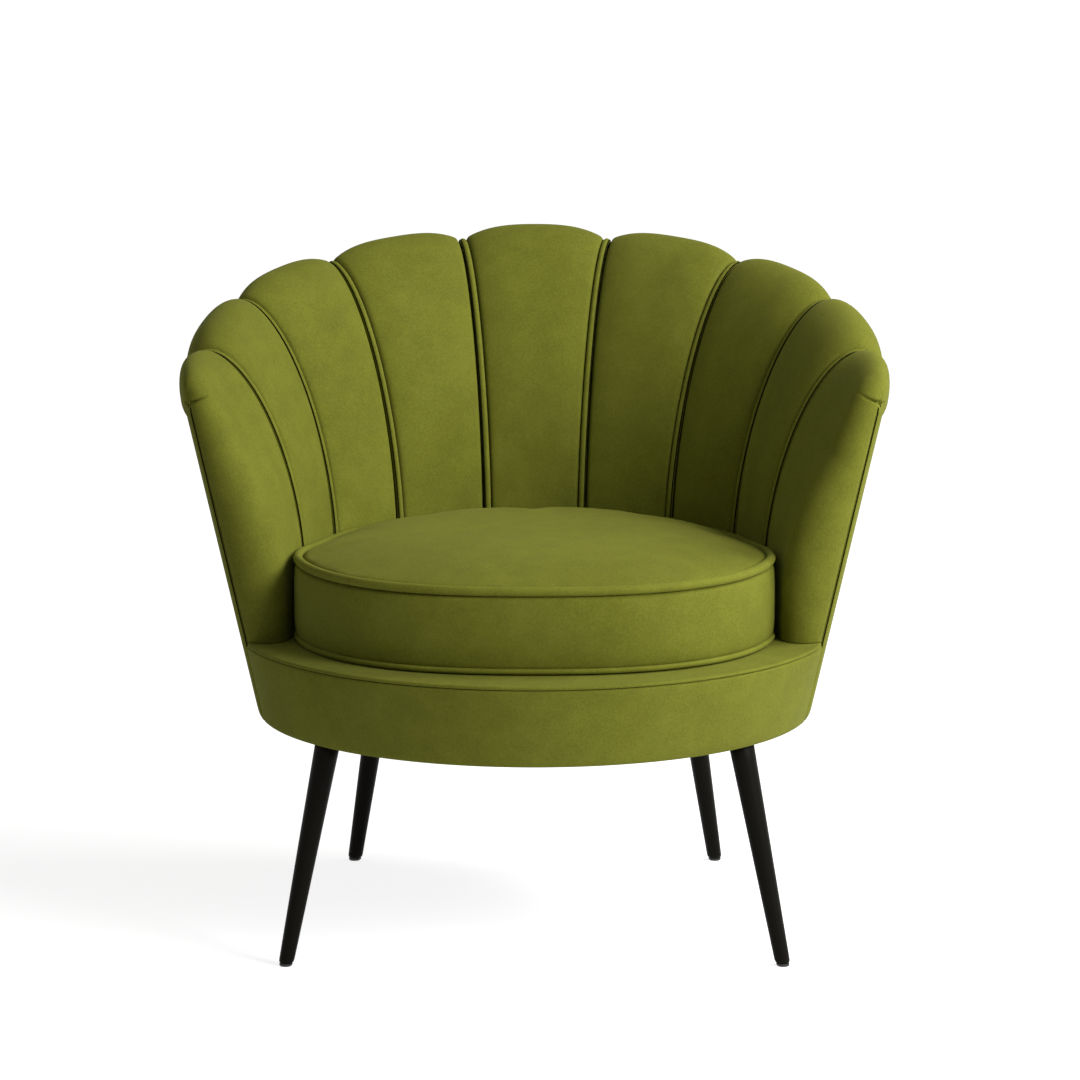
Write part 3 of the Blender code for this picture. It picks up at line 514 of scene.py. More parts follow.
def eased(points, across, share):
    """Rounds off the ridge where the top of the arm turns over to the outside."""
    weight = 0.5 * np.exp(-(((share - CREST_SHARE) / ARM_EASE_SPAN) ** 2))
    weight = weight * smooth_step(across / ARM_EASE_SEAM) * smooth_step((1.0 - across) / ARM_EASE_EDGE)
    weight = weight[1:-1, :, None]
    points = points.copy()
    for _ in range(ARM_EASE_STEPS):
        middle = 0.5 * (points[:-2] + points[2:])
        points[1:-1] += weight * (middle - points[1:-1])
    return points


def dart(points):
    """Depth of the dart that takes up the arm cover's fullness: a crease in from the edge welt's top."""
    line = DART_END - DART_TIP
    offset = points[..., [0, 2]] - DART_TIP
    along = np.sum(offset * line, axis=-1) / np.sum(line * line)
    aside = np.linalg.norm(offset - np.clip(along, 0.0, 1.0)[..., None] * line, axis=-1)
    return DART_DEPTH * np.exp(-((aside / DART_WIDTH) ** 2)) * (1.0 - smooth_step(along))


def cushion_plan(turn):
    side = np.abs(np.sin(turn)) ** CUSHION_SQUARENESS
    front = np.abs(np.cos(turn)) ** CUSHION_SQUARENESS
    squared = CUSHION_HALF / (side + front) ** (1.0 / CUSHION_SQUARENESS)
    forward = (np.abs(turn) - CUSHION_REAR_TURN) / (CUSHION_FRONT_TURN - CUSHION_REAR_TURN)
    return lerp(CUSHION_REAR_RADIUS, squared, smooth_step(forward))


class Graph:
    """A material's nodes, added by kind and joined by name."""

    def __init__(self, name):
        self.material = bpy.data.materials.new(name)
        self.material.use_nodes = True
        self.nodes = self.material.node_tree.nodes
        self.links = self.material.node_tree.links
        self.shader = self.nodes["Principled BSDF"]
        self.place = self.add("ShaderNodeTexCoord").outputs["Object"]

    def add(self, kind, **settings):
        node = self.nodes.new(kind)
        for key, value in settings.items():
            setattr(node, key, value)
        return node

    def put(self, value, socket):
        if isinstance(value, bpy.types.NodeSocket):
            self.links.new(value, socket)
        else:
            socket.default_value = value

    def noise(self, scale, detail=2.0, roughness=0.5, place=None):
        node = self.add("ShaderNodeTexNoise")
        self.put(place or self.place, node.inputs["Vector"])
        node.inputs["Scale"].default_value = scale
        node.inputs["Detail"].default_value = detail
        node.inputs["Roughness"].default_value = roughness
        return node.outputs["Fac"]

    def texture(self, kind, scale, **settings):
        node = self.add(kind, **settings)
        self.put(self.place, node.inputs["Vector"])
        node.inputs["Scale"].default_value = scale
        return node

    def stretched(self, scale):
        return self.texture("ShaderNodeMapping", scale).outputs["Vector"]

    def ramp(self, value, low, high):
        """Maps a noise value to the range from low to high."""
        node = self.add("ShaderNodeMapRange")
        self.put(value, node.inputs["Value"])
        node.inputs["From Min"].default_value = 0.3
        node.inputs["From Max"].default_value = 0.7
        node.inputs["To Min"].default_value = low
        node.inputs["To Max"].default_value = high
        return node.outputs["Result"]

    def math(self, operation, first, second):
        node = self.add("ShaderNodeMath", operation=operation)
        self.put(first, node.inputs[0])
        self.put(second, node.inputs[1])
        return node.outputs[0]

    def colours(self, value, *stops):
        """A colour ramp with evenly spaced colours."""
        node = self.add("ShaderNodeValToRGB")
        self.put(value, node.inputs["Fac"])
        elements = node.color_ramp.elements
        for index, colour in enumerate(stops):
            element = elements[index] if index < 2 else elements.new(1.0)
            element.color = (*colour, 1.0)
        for index, element in enumerate(list(elements)):
            element.position = index / (len(stops) - 1)
        return node.outputs["Color"]

    def bump(self, height, strength, distance, normal=None):
        node = self.add("ShaderNodeBump")
        node.inputs["Strength"].default_value = strength
        node.inputs["Distance"].default_value = distance
        self.put(height, node.inputs["Height"])
        if normal:
            self.put(normal, node.inputs["Normal"])
        return node.outputs["Normal"]

    def shade(self, **inputs):
        """Sets or joins inputs of the shader, named with underscores for spaces."""
        for key, value in inputs.items():
            self.put(value, self.shader.inputs[key.replace("_", " ")])
        return self.material


def velvet(name, dark, middle, light):
    """Short pile: fine grain, soft mottling where the nap is brushed, and a sheen at glancing angles."""
    graph = Graph(name)
    pile = graph.noise(420.0, 3.0, 0.7)
    brushed = graph.noise(38.0, 3.0, 0.55)
    broad = graph.noise(7.0, 2.0, 0.5)
    tone = graph.math("ADD", graph.ramp(pile, -0.22, 0.22), graph.ramp(brushed, -0.12, 0.12))
    tone = graph.math("ADD", tone, graph.ramp(broad, 0.40, 0.60))
    colour = graph.colours(tone, dark, middle, light)
    roughness = graph.ramp(brushed, 0.78, 0.92)
    normal = graph.bump(graph.noise(1300.0, 2.0, 0.6), 0.35, 0.0006)
    normal = graph.bump(brushed, 0.12, 0.0012, normal)
    graph.shade(Specular_IOR_Level=0.12, Sheen_Weight=0.12, Sheen_Roughness=0.45)
    graph.shade(Sheen_Tint=(0.62, 0.66, 0.20, 1.0))
    return graph.shade(Base_Color=colour, Roughness=roughness, Normal=normal)


def black_lacquer():
    graph = Graph("black_lacquer")
    grain = graph.noise(60.0, 4.0, 0.6, graph.stretched((1.0, 1.0, 0.06)))
    smear = graph.noise(14.0, 2.0, 0.5)
    colour = graph.colours(grain, (0.0064, 0.0056, 0.0040), (0.0104, 0.0092, 0.0064))
    normal = graph.bump(grain, 0.06, 0.0005)
    graph.shade(Specular_IOR_Level=0.04)
    return graph.shade(Base_Color=colour, Roughness=graph.ramp(smear, 0.34, 0.46), Normal=normal)


def black_plastic():
    graph = Graph("moulded_black_plastic")
    speckle = graph.noise(1500.0, 2.0, 0.6)
    colour = graph.colours(graph.noise(30.0), (0.012, 0.012, 0.012), (0.020, 0.020, 0.020))
    normal = graph.bump(speckle, 0.15, 0.0003)
    return graph.shade(Base_Color=colour, Roughness=graph.ramp(speckle, 0.5, 0.65), Normal=normal)


def plywood():
    graph = Graph("birch_plywood")
    grain = graph.noise(16.0, 5.0, 0.6, graph.stretched((0.35, 7.0, 1.0)))
    plies = graph.texture("ShaderNodeTexWave", 110.0, bands_direction="Z")
    plies.inputs["Distortion"].default_value = 0.8
    layers = graph.math("MULTIPLY", plies.outputs["Fac"], 0.35)
    mixed = graph.math("ADD", layers, graph.ramp(grain, 0.1, 0.6))
    colour = graph.colours(mixed, (0.36, 0.23, 0.11), (0.52, 0.37, 0.21), (0.62, 0.47, 0.29))
    return graph.shade(
        Base_Color=colour, Roughness=graph.ramp(grain, 0.62, 0.80), Normal=graph.bump(grain, 0.2, 0.0006)
    )


def fibreboard():
    graph = Graph("hardboard")
    fibres = graph.noise(420.0, 4.0, 0.7)
    colour = graph.colours(fibres, (0.19, 0.12, 0.06), (0.30, 0.20, 0.11))
    return graph.shade(
        Base_Color=colour, Roughness=graph.ramp(fibres, 0.72, 0.9), Normal=graph.bump(fibres, 0.2, 0.0004)
    )


def zinc():
    graph = Graph("zinc_plate")
    thread = graph.texture("ShaderNodeTexWave", 250.0, bands_direction="Z")
    spots = graph.noise(300.0, 3.0, 0.6)
    colour = graph.colours(spots, (0.48, 0.49, 0.50), (0.62, 0.63, 0.64))
    normal = graph.bump(thread.outputs["Fac"], 0.5, 0.0008)
    graph.shade(Metallic=1.0)
    return graph.shade(Base_Color=colour, Roughness=graph.ramp(spots, 0.28, 0.42), Normal=normal)


def webbing():
    graph = Graph("woven_webbing")
    warp = graph.texture("ShaderNodeTexChecker", 650.0)
    slub = graph.noise(90.0, 3.0, 0.6)
    weave = graph.math("MULTIPLY", warp.outputs["Fac"], slub)
    colour = graph.colours(weave, (0.045, 0.043, 0.040), (0.13, 0.12, 0.11))
    return graph.shade(
        Base_Color=colour, Roughness=graph.ramp(slub, 0.8, 0.95), Normal=graph.bump(weave, 0.5, 0.0008)
    )


def lining():
    graph = Graph("black_nonwoven")
    fibres = graph.noise(700.0, 4.0, 0.75)
    points = graph.texture("ShaderNodeTexVoronoi", 420.0)
    dots = graph.ramp(points.outputs["Distance"], 0.0, 1.0)
    colour = graph.colours(fibres, (0.012, 0.012, 0.013), (0.032, 0.032, 0.034))
    return graph.shade(
        Base_Color=colour, Roughness=graph.ramp(fibres, 0.82, 0.97), Normal=graph.bump(dots, 0.4, 0.0005)
    )


def painted_seam_shadow():
    """Painted shade: the nearly black line that stands for the shadow in the ditch beside a welt; streaky,
    dull and a little uneven.
    """
    graph = Graph("painted_seam_shadow")
    line_streaks = graph.noise(900.0, 3.0, 0.6, graph.stretched((1.0, 1.0, 0.4)))
    colour = graph.colours(line_streaks, (0.0040, 0.0042, 0.0007), (0.0095, 0.0100, 0.0017))
    normal = graph.bump(line_streaks, 0.4, 0.0004)
    graph.shade(Specular_IOR_Level=0.08)
    return graph.shade(Base_Color=colour, Roughness=graph.ramp(line_streaks, 0.8, 0.95), Normal=normal)


VELVET = velvet("moss_velvet", (0.120, 0.125, 0.012), (0.185, 0.195, 0.021), (0.255, 0.272, 0.036))
PIPING = velvet("moss_piping", (0.135, 0.140, 0.014), (0.205, 0.216, 0.024), (0.280, 0.298, 0.040))
SEAM_SHADOW = painted_seam_shadow()
LACQUER = black_lacquer()
PLASTIC = black_plastic()
LINING = lining()
NODE_MATERIALS = {
    "black_wood": LACQUER,
    "black_plastic": PLASTIC,
    "plywood": plywood(),
    "fibreboard": fibreboard(),
    "zinc_steel": zinc(),
    "webbing": webbing(),
    "black_lining": LINING,
    "velvet": VELVET,
    "velvet_piping": PIPING,
}


def add_object(name, data):
    thing = bpy.data.objects.new(name, data)
    bpy.context.scene.collection.objects.link(thing)
    return thing


def add_piece(name, points, faces, material, nodes, body=CHAIR, levels=1):
    """A closed, smooth-shaded piece that rides on a body and stands for its CAD nodes."""
    edit = bmesh.new()
    verts = [edit.verts.new(point) for point in points]
    for face in faces:
        edit.faces.new([verts[index] for index in face])
    bmesh.ops.remove_doubles(edit, verts=edit.verts, dist=1e-6)
    bmesh.ops.recalc_face_normals(edit, faces=edit.faces)
    if edit.calc_volume(signed=True) < 0.0:
        bmesh.ops.reverse_faces(edit, faces=edit.faces)
    mesh = bpy.data.meshes.new(name)
    edit.to_mesh(mesh)
    edit.free()
    mesh.shade_smooth()
    mesh.materials.append(material)
    piece = add_object(name, mesh)
    if levels:
        subdivision = piece.modifiers.new("subdivision", "SUBSURF")
        subdivision.levels = levels
        subdivision.render_levels = levels
    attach(piece, body)
    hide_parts(*nodes)
    return piece


def grid_faces(rows, columns, offset=0):
    return [
        (
            offset + row * columns + column,
            offset + row * columns + column + 1,
            offset + (row + 1) * columns + column + 1,
            offset + (row + 1) * columns + column,
        )
        for row in range(rows - 1)
        for column in range(columns - 1)
    ]


def shell(front, back):
    """Points and faces of a closed shell between two grids of the same size."""
    rows, columns = front.shape[:2]
    count = rows * columns
    border = list(range(columns))
    border += [row * columns + columns - 1 for row in range(1, rows)]
    border += [(rows - 1) * columns + column for column in range(columns - 2, -1, -1)]
    border += [row * columns for row in range(rows - 2, 0, -1)]
    faces = grid_faces(rows, columns) + grid_faces(rows, columns, count)
    for here, there in zip(border, border[1:] + border[:1]):
        faces.append((here, there, there + count, here + count))
    return np.concatenate([front.reshape(-1, 3), back.reshape(-1, 3)]), faces


def stacked_rings(first, rings, last):
    """Points and faces of a closed form: rings of points, one after the other, between two end points."""
    steps = len(rings[0])
    points = np.concatenate([first[None], *rings, last[None]])
    after = [(i + 1) % steps for i in range(steps)]
    faces = [(0, 1 + after[i], 1 + i) for i in range(steps)]
    for ring in range(len(rings) - 1):
        low, high = 1 + ring * steps, 1 + (ring + 1) * steps
        faces += [(low + after[i], high + after[i], high + i, low + i) for i in range(steps)]
    end = 1 + (len(rings) - 1) * steps
    faces += [(end + after[i], len(points) - 1, end + i) for i in range(steps)]
    return points, faces


def blown(points, faces, pinned):
    """Blows a cover out as cloth that is held at its pinned points; no point moves past the limit."""
    mesh = bpy.data.meshes.new("cover")
    mesh.from_pydata(points.tolist(), [], faces)
    cover = add_object("cover", mesh)
    group = cover.vertex_groups.new(name="sewn")
    group.add([int(index) for index in pinned], 1.0, "REPLACE")
    cloth = cover.modifiers.new("cloth", "CLOTH")
    settings = cloth.settings
    settings.quality = 6
    settings.mass = 0.3
    settings.tension_stiffness = 60.0
    settings.compression_stiffness = 60.0
    settings.shear_stiffness = 30.0
    settings.bending_stiffness = 8.0
    settings.use_pressure = True
    settings.uniform_pressure_force = PRESSURE
    settings.vertex_group_mass = group.name
    settings.effector_weights.gravity = 0.0
    cloth.collision_settings.use_collision = False
    scene = bpy.context.scene
    cloth.point_cache.frame_start = 1
    cloth.point_cache.frame_end = LAST_FRAME
    for number in range(1, LAST_FRAME + 1):
        scene.frame_set(number)
    evaluated = cover.evaluated_get(bpy.context.evaluated_depsgraph_get())
    moved = np.array([vert.co for vert in evaluated.data.vertices])
    bpy.data.objects.remove(cover)
    scene.frame_set(1)
    move = moved - points
    length = np.maximum(np.linalg.norm(move, axis=1, keepdims=True), 1e-9)
    return points + move * SWELL_LIMIT * np.tanh(length / SWELL_LIMIT) / length


def blown_grid(front, back):
    """The front of a pad blown out as cloth, sewn down round its border."""
    rows, columns = front.shape[:2]
    points = front.reshape(-1, 3)
    faces = grid_faces(rows, columns)
    middle = faces[len(faces) // 2 + columns // 2]
    corners = points[list(middle)]
    facing = np.cross(corners[1] - corners[0], corners[2] - corners[0])
    if np.dot(facing, corners[0] - back.reshape(-1, 3)[middle[0]]) < 0.0:
        faces = [face[::-1] for face in faces]
    index = np.arange(rows * columns).reshape(rows, columns)
    edge = len(EDGE_DISTANCES)
    free = index[2:-2, edge:-edge].ravel()
    pinned = np.setdiff1d(index.ravel(), free)
    return blown(points, faces, pinned).reshape(front.shape)


def build_pad(name, front, back, node):
    front = blown_grid(front, back)
    points, faces = shell(front, back)
    pad = add_piece(name, points, faces, VELVET, [node])


def build_channel(name, start, end):
    front, back = channel_grid(start, end, False), channel_grid(start, end, True)
    build_pad(f"pad_{name}", front, back, f"channel_{name}")


def build_channels():
    build_channel("centre", -0.5 * CHANNEL_TURN, 0.5 * CHANNEL_TURN)
    for side, sign in SIDES:
        for number in (1, 2, 3):
            seams = sign * (number - 0.5) * CHANNEL_TURN, sign * (number + 0.5) * CHANNEL_TURN
            build_channel(f"{side}_{number}", min(seams), max(seams))
        mirror = np.array([sign, 1.0, 1.0])
        front, back = arm_grid(False) * mirror, arm_grid(True) * mirror
        build_pad(f"pad_arm_{side}", front, back, f"channel_arm_{side}")


def add_line(curve, points, thickness, slot, cyclic):
    """A round line of a curve, so many times as thick as the curve's own bevel."""
    spline = curve.splines.new("POLY")
    spline.points.add(len(points) - 1)
    for target, point in zip(spline.points, points):
        target.co = (*point, 1.0)
        target.radius = thickness
    spline.use_cyclic_u = cyclic
    spline.use_smooth = True
    spline.material_index = slot


def add_cord(name, points, radius, nodes, body=CHAIR, cyclic=False, shadow_lines=()):
    """A welt: a covered cord along its seam, and dark lines on it that are painted shade for the shadow in
    the ditch beside it.
    """
    curve = bpy.data.curves.new(name, "CURVE")
    curve.dimensions = "3D"
    curve.materials.append(PIPING)
    add_line(curve, points, 1.0, 0, cyclic)
    if shadow_lines:
        curve.materials.append(SEAM_SHADOW)
    for line, shadow_radius in shadow_lines:
        add_line(curve, line, shadow_radius / radius, 1, cyclic)
    curve.bevel_depth = radius
    curve.bevel_resolution = 4
    curve.use_fill_caps = True
    cord = add_object(name, curve)
    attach(cord, body)
    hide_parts(*nodes)
    return cord


def build_welts():
    share = np.linspace(WELT_START, WELT_END, WELT_POINTS)
    for side, sign in SIDES:
        for number, outer_lean in enumerate(SHADOW_LINE_LEANS, start=1):
            turn = sign * (number - 0.5) * CHANNEL_TURN
            radius, height = seam_line(turn, share)
            outward, upward = seam_normal(turn, share)
            place = spread(turn, share) - sign * WELT_ASIDE / radius
            points = polar(place, radius - outward * WELT_SUNK, height - upward * WELT_SUNK)
            # Painted shade: a dark line on each flank of the cord, thicker on the outer side, for the
            # ditch's shadow
            shadow_lines = []
            for lean, shadow_radius in ((outer_lean, OUTER_SHADOW_LINE), (-INNER_LEAN, INNER_SHADOW_LINE)):
                aside = sign * WELT_RADIUS * math.sin(lean) / radius
                above = WELT_RADIUS * math.cos(lean) - WELT_SUNK
                line = polar(place + aside, radius + outward * above, height + upward * above)
                shadow_lines.append((line, shadow_radius))
            node = f"channel_welt_{side}_{number}"
            add_cord(f"piping_{side}_{number}", points, WELT_RADIUS, [node], shadow_lines=shadow_lines)


def build_skirt(name, start, end, top_height, thickness, bulge, columns, node):
    """An outside cover: hem turned in under the base, rounded bottom edge, slightly full, edges sewn in."""
    edge = np.array(SKIRT_EDGE_SHARES)
    across = np.linspace(0.0, 1.0, columns)[1:-1]
    across = np.concatenate([edge, across, 1.0 - edge[::-1]])[None, :]
    turn = lerp(start, end, across)
    top = top_height(turn)
    level = np.zeros_like(turn)
    rows = []
    for inset in np.linspace(HEM_WIDTH, HEM_ROUND, 3):
        rows.append((BASE_RADIUS - inset + level, BASE_BOTTOM + level))
    for angle in np.linspace(0.0, 0.5 * np.pi, 7)[1:-1]:
        radius = BASE_RADIUS - HEM_ROUND * (1.0 - np.sin(angle))
        height = BASE_BOTTOM + HEM_ROUND * (1.0 - np.cos(angle))
        rows.append((radius + level, height + level))
    for share in SKIRT_ROWS:
        height = lerp(BASE_BOTTOM + HEM_ROUND, top, share)
        full = bulge * (1.0 - np.abs(2.0 * across - 1.0) ** 6) * (1.0 - np.abs(2.0 * share - 1.0) ** 4)
        near = np.minimum(across, 1.0 - across) * (end - start) * BASE_RADIUS
        sewn = SEWN_DEPTH * np.exp(-((near / SEWN_WIDTH) ** 2))
        sewn = sewn + TOP_SEWN_DEPTH * np.exp(-(((top - height) / TOP_SEWN_WIDTH) ** 2))
        rows.append((outside_radius(height) + full - sewn, height))
    outer = np.stack([polar(turn[0], radius[0], height[0]) for radius, height in rows])
    inner = []
    for radius, height in rows:
        low = np.clip((height - BASE_BOTTOM) / HEM_ROUND, 0.0, 1.0)
        behind = np.minimum(radius, outside_radius(height)) - lerp(HEM_SKIN, thickness, low)
        raised = np.maximum(height, BASE_BOTTOM + HEM_THICKNESS)
        inner.append(polar(turn[0], behind[0], raised[0]))
    points, faces = shell(outer, np.stack(inner))
    panel = add_piece(name, points, faces, VELVET, [node])


def band_top(turn):
    return DECK_SEAM - GAP + 0.0 * turn


def panel_top(turn):
    return tuck_height(turn) - PANEL_TOP_GAP


def build_outside():
    margin = ARM_WELT_ROOM / BASE_RADIUS
    seam = 1.5 * CHANNEL_TURN
    inner, outer = seam + GAP / BASE_RADIUS, ARM_EDGE - margin
    start, end = ARM_EDGE + margin, 2.0 * math.pi - ARM_EDGE - margin
    band, panel = (band_top, BAND_THICKNESS), (panel_top, PANEL_THICKNESS)
    build_skirt("cover_front", start, end, *band, PANEL_BULGE, BAND_COLUMNS, "front_band")
    build_skirt("cover_back", -seam, seam, *panel, PANEL_BULGE, PANEL_COLUMNS, "outside_back")
    build_skirt("cover_arm_left", -outer, -inner, *panel, 0.0, PANEL_COLUMNS, "outside_arm_left")
    build_skirt("cover_arm_right", inner, outer, *panel, 0.0, PANEL_COLUMNS, "outside_arm_right")


def build_arm_welts():
    """Welts up the outer edges of the arms: from the hem to the corner, where their ends are tucked in."""
    bottom = BASE_BOTTOM + HEM_ROUND
    corner = rim_height(ARM_EDGE) + ARM_CORNER_RISE
    heights = np.linspace(bottom, corner + ARM_WELT_PAST, 60)
    angles = np.linspace(0.0, 0.5 * math.pi, 8)[:-1]
    radii = np.concatenate([BASE_RADIUS - HEM_ROUND * (1.0 - np.sin(angles)), outside_radius(heights)])
    heights = np.concatenate([BASE_BOTTOM + HEM_ROUND * (1.0 - np.cos(angles)), heights])
    tucked = smooth_step((heights - corner + ARM_WELT_TUCK_START) / ARM_WELT_TUCK_LENGTH)
    radii = radii - ARM_WELT_INSET - ARM_WELT_TUCK * tucked
    heights = heights + ARM_WELT_LIFT * (heights < bottom)
    for side, sign in SIDES:
        points = polar(sign * ARM_EDGE, radii, heights)
        # Painted shade: a dark line beside the welt for the shadow between it and the arm pad
        line = polar(sign * (ARM_EDGE + ARM_SHADOW_LINE_AHEAD / radii), radii + ARM_SHADOW_LINE_OUT, heights)
        shadow_lines = [(line, OUTER_SHADOW_LINE)]
        add_cord(f"piping_arm_{side}", points, ARM_WELT_RADIUS, [f"arm_welt_{side}"], shadow_lines=shadow_lines)


def deck_outline(turn, front_radius):
    """Round behind, inside the back frame; wider under the arms; full width in front of them."""
    rear = SEAM_RADIUS + PAD_DEPTH - DECK_REAR_GAP
    under_arm = front_radius - 2.0 * ARM_EDGE_INSET + DECK_ARM_OVERLAP
    side = smooth_step((np.abs(turn) - DECK_SIDE_TURN) / DECK_SIDE_EASE)
    ahead = smooth_step((np.abs(turn) - ARM_EDGE) / DECK_FRONT_EASE)
    return lerp(lerp(rear, under_arm, side), front_radius, ahead)


def build_deck():
    """The seat deck: a padded cover rolled over the front edge and sewn to the front band."""
    turn = np.linspace(-math.pi, math.pi, DECK_STEPS + 1)[:-1]
    outline = deck_outline(turn, outside_radius(DECK_SEAM))
    level = DECK_TOP - DECK_SHY
    rings = [polar(turn, share * outline, level) for share in (0.35, 0.7)]
    for angle in np.linspace(0.0, 0.5 * np.pi, 7):
        inset = DECK_ROUND * (1.0 - np.sin(angle)) - GAP
        rings.append(polar(turn, outline - inset, DECK_TOP - DECK_ROUND * (1.0 - np.cos(angle))))
    for inset, height in DECK_SEWN_EDGE:
        rings.append(polar(turn, outline - inset, height))
    points, faces = stacked_rings(polar(0.0, 0.0, level), rings, polar(0.0, 0.0, DECK_BOTTOM))
    deck = add_piece("seat_deck", points, faces, VELVET, ["deck_cover", "deck_pad"])


def build_cushion():
    """Loose box cushion: one closed cover with its welts, blown out over its filling."""
    steps = CUSHION_STEPS
    turn = np.linspace(-math.pi, math.pi, steps + 1)[:-1]
    plan = cushion_plan(turn) / CUSHION_HALF
    top = CUSHION_BOTTOM + CUSHION_HEIGHT
    dip = CUSHION_DIP * (1.0 - smooth_step((np.abs(turn) - CUSHION_DIP_TURN) / CUSHION_DIP_EASE))
    panel = CUSHION_HALF - CUSHION_TOP_INSET
    profile = []
    for share in CUSHION_TOP_ROWS:
        crown = CUSHION_CROWN * (1.0 - share**CUSHION_CROWN_POWER)
        dive = TOP_DIVE_DEPTH * np.exp(-(((1.0 - share) * panel / TOP_DIVE_WIDTH) ** 2))
        profile.append((panel * share, top - CUSHION_LOW + crown - dive, share**CUSHION_DIP_POWER))
    top_rows = len(profile)
    band_high, band_low = top - 2.0 * TOP_WELT, CUSHION_BOTTOM + 2.0 * LOW_WELT
    for share in CUSHION_BAND_ROWS:
        bulge = BAND_BULGE * (1.0 - np.abs(2.0 * share - 1.0) ** 4)
        near = np.minimum(share, 1.0 - share) * (band_high - band_low)
        dive = lerp(*BAND_DIVE_DEPTHS, share) * np.exp(-((near / BAND_DIVE_WIDTH) ** 2))
        radius = CUSHION_HALF - BAND_INSET + bulge - dive
        profile.append((radius, lerp(band_high, band_low, share), 1.0 - share))
    band_rows = len(profile)
    base = CUSHION_HALF - 2.0 * LOW_WELT
    profile.append((base, CUSHION_BOTTOM + BASE_EDGE_RISE, 0.0))
    profile += [(base * share, CUSHION_BOTTOM + GAP, 0.0) for share in CUSHION_BASE_ROWS]
    rings = [polar(turn, radius * plan, height - dip * lowered) for radius, height, lowered in profile]
    centre = polar(0.0, 0.0, top - CUSHION_LOW + CUSHION_CROWN)
    points, faces = stacked_rings(centre, rings, polar(0.0, 0.0, CUSHION_BOTTOM + GAP))
    rows = [*range(top_rows - 2, top_rows + 2), *range(band_rows - 2, len(rings))]
    pinned = np.concatenate([np.arange(1 + row * steps, 1 + (row + 1) * steps) for row in rows])
    points = blown(points, faces, np.append(pinned, len(points) - 1))
    nodes = ["cushion_top", "cushion_band", "cushion_bottom", "cushion_core"]
    cushion = add_piece("seat_cushion", points, faces, VELVET, nodes, CUSHION)
    ring = polar(turn, (CUSHION_HALF - TOP_WELT) * plan, top - TOP_WELT - dip)
    add_cord("seat_piping_top", ring, TOP_WELT, ["cushion_welt_top"], CUSHION, True)
    ring = polar(turn, (CUSHION_HALF - LOW_WELT) * plan, CUSHION_BOTTOM + LOW_WELT + LOW_WELT_RISE)
    add_cord("seat_piping_bottom", ring, LOW_WELT, ["cushion_welt_bottom"], CUSHION, True)


def lathe(profile, turn):
    """A turned piece on a leg's leaning line, with level ends."""
    angles = np.linspace(0.0, 2.0 * math.pi, LEG_STEPS + 1)[:-1]
    circle = np.stack([np.cos(angles), np.sin(angles), np.zeros(LEG_STEPS)], axis=-1)
    lean = (LEG_TOP_RADIUS - LEG_FOOT_RADIUS) / LEG_TOP
    rings = []
    for radius, height in profile:
        rings.append(polar(turn, LEG_FOOT_RADIUS + lean * height, height) + radius * circle)
    return stacked_rings(rings[0][0], rings[1:-1], rings[-1][0])


def build_legs():
    profile = [(0.0, STUD_BOTTOM), (STUD_BORE, STUD_BOTTOM), (STUD_BORE, LEG_TOP)]
    profile += [(LEG_TOP_HALF - LEG_EDGE, LEG_TOP), (LEG_TOP_HALF, LEG_TOP - LEG_EDGE)]
    for share in np.linspace(0.0, 1.0, 14)[1:]:
        height = lerp(LEG_TOP, LEG_BOTTOM + LEG_TIP, share)
        profile.append((lerp(LEG_TOP_HALF, LEG_FOOT_HALF, share), height))
    for angle in np.linspace(0.0, 0.5 * np.pi, 6)[1:]:
        radius = LEG_FOOT_HALF - LEG_TIP_ROUND * LEG_TIP * (1.0 - math.cos(angle))
        profile.append((radius, LEG_BOTTOM + LEG_TIP * (1.0 - math.sin(angle))))
    profile.append((0.0, LEG_BOTTOM))
    for end, turn in LEG_TURNS.items():
        for side, sign in SIDES:
            name, nodes = f"turned_leg_{end}_{side}", [f"leg_{end}_{side}"]
            points, faces = lathe(profile, sign * turn)
            add_piece(name, points, faces, LACQUER, nodes, levels=0)


def build_dust_cover():
    """Black lining stretched under the base, let in between the legs and the hem."""
    radius = BASE_RADIUS - HEM_WIDTH - LINING_MARGIN
    turn = np.linspace(-math.pi, math.pi, LINING_STEPS + 1)[:-1]
    rings = [polar(turn, share * radius, LINING_LOW) for share in np.linspace(0.1, 1.0, 12)]
    rings += [polar(turn, share * radius, LINING_HIGH) for share in (1.0, 0.7, 0.35)]
    points, faces = stacked_rings(polar(0.0, 0.0, LINING_LOW), rings, polar(0.0, 0.0, LINING_HIGH))
    cover = add_piece("lining_cover", points, faces, LINING, ["dust_cover"], levels=0)


def dress_frame():
    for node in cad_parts.values():
        for slot in node.material_slots:
            name = slot.material.name.split(".")[0]
            if name in NODE_MATERIALS:
                slot.material = NODE_MATERIALS[name]


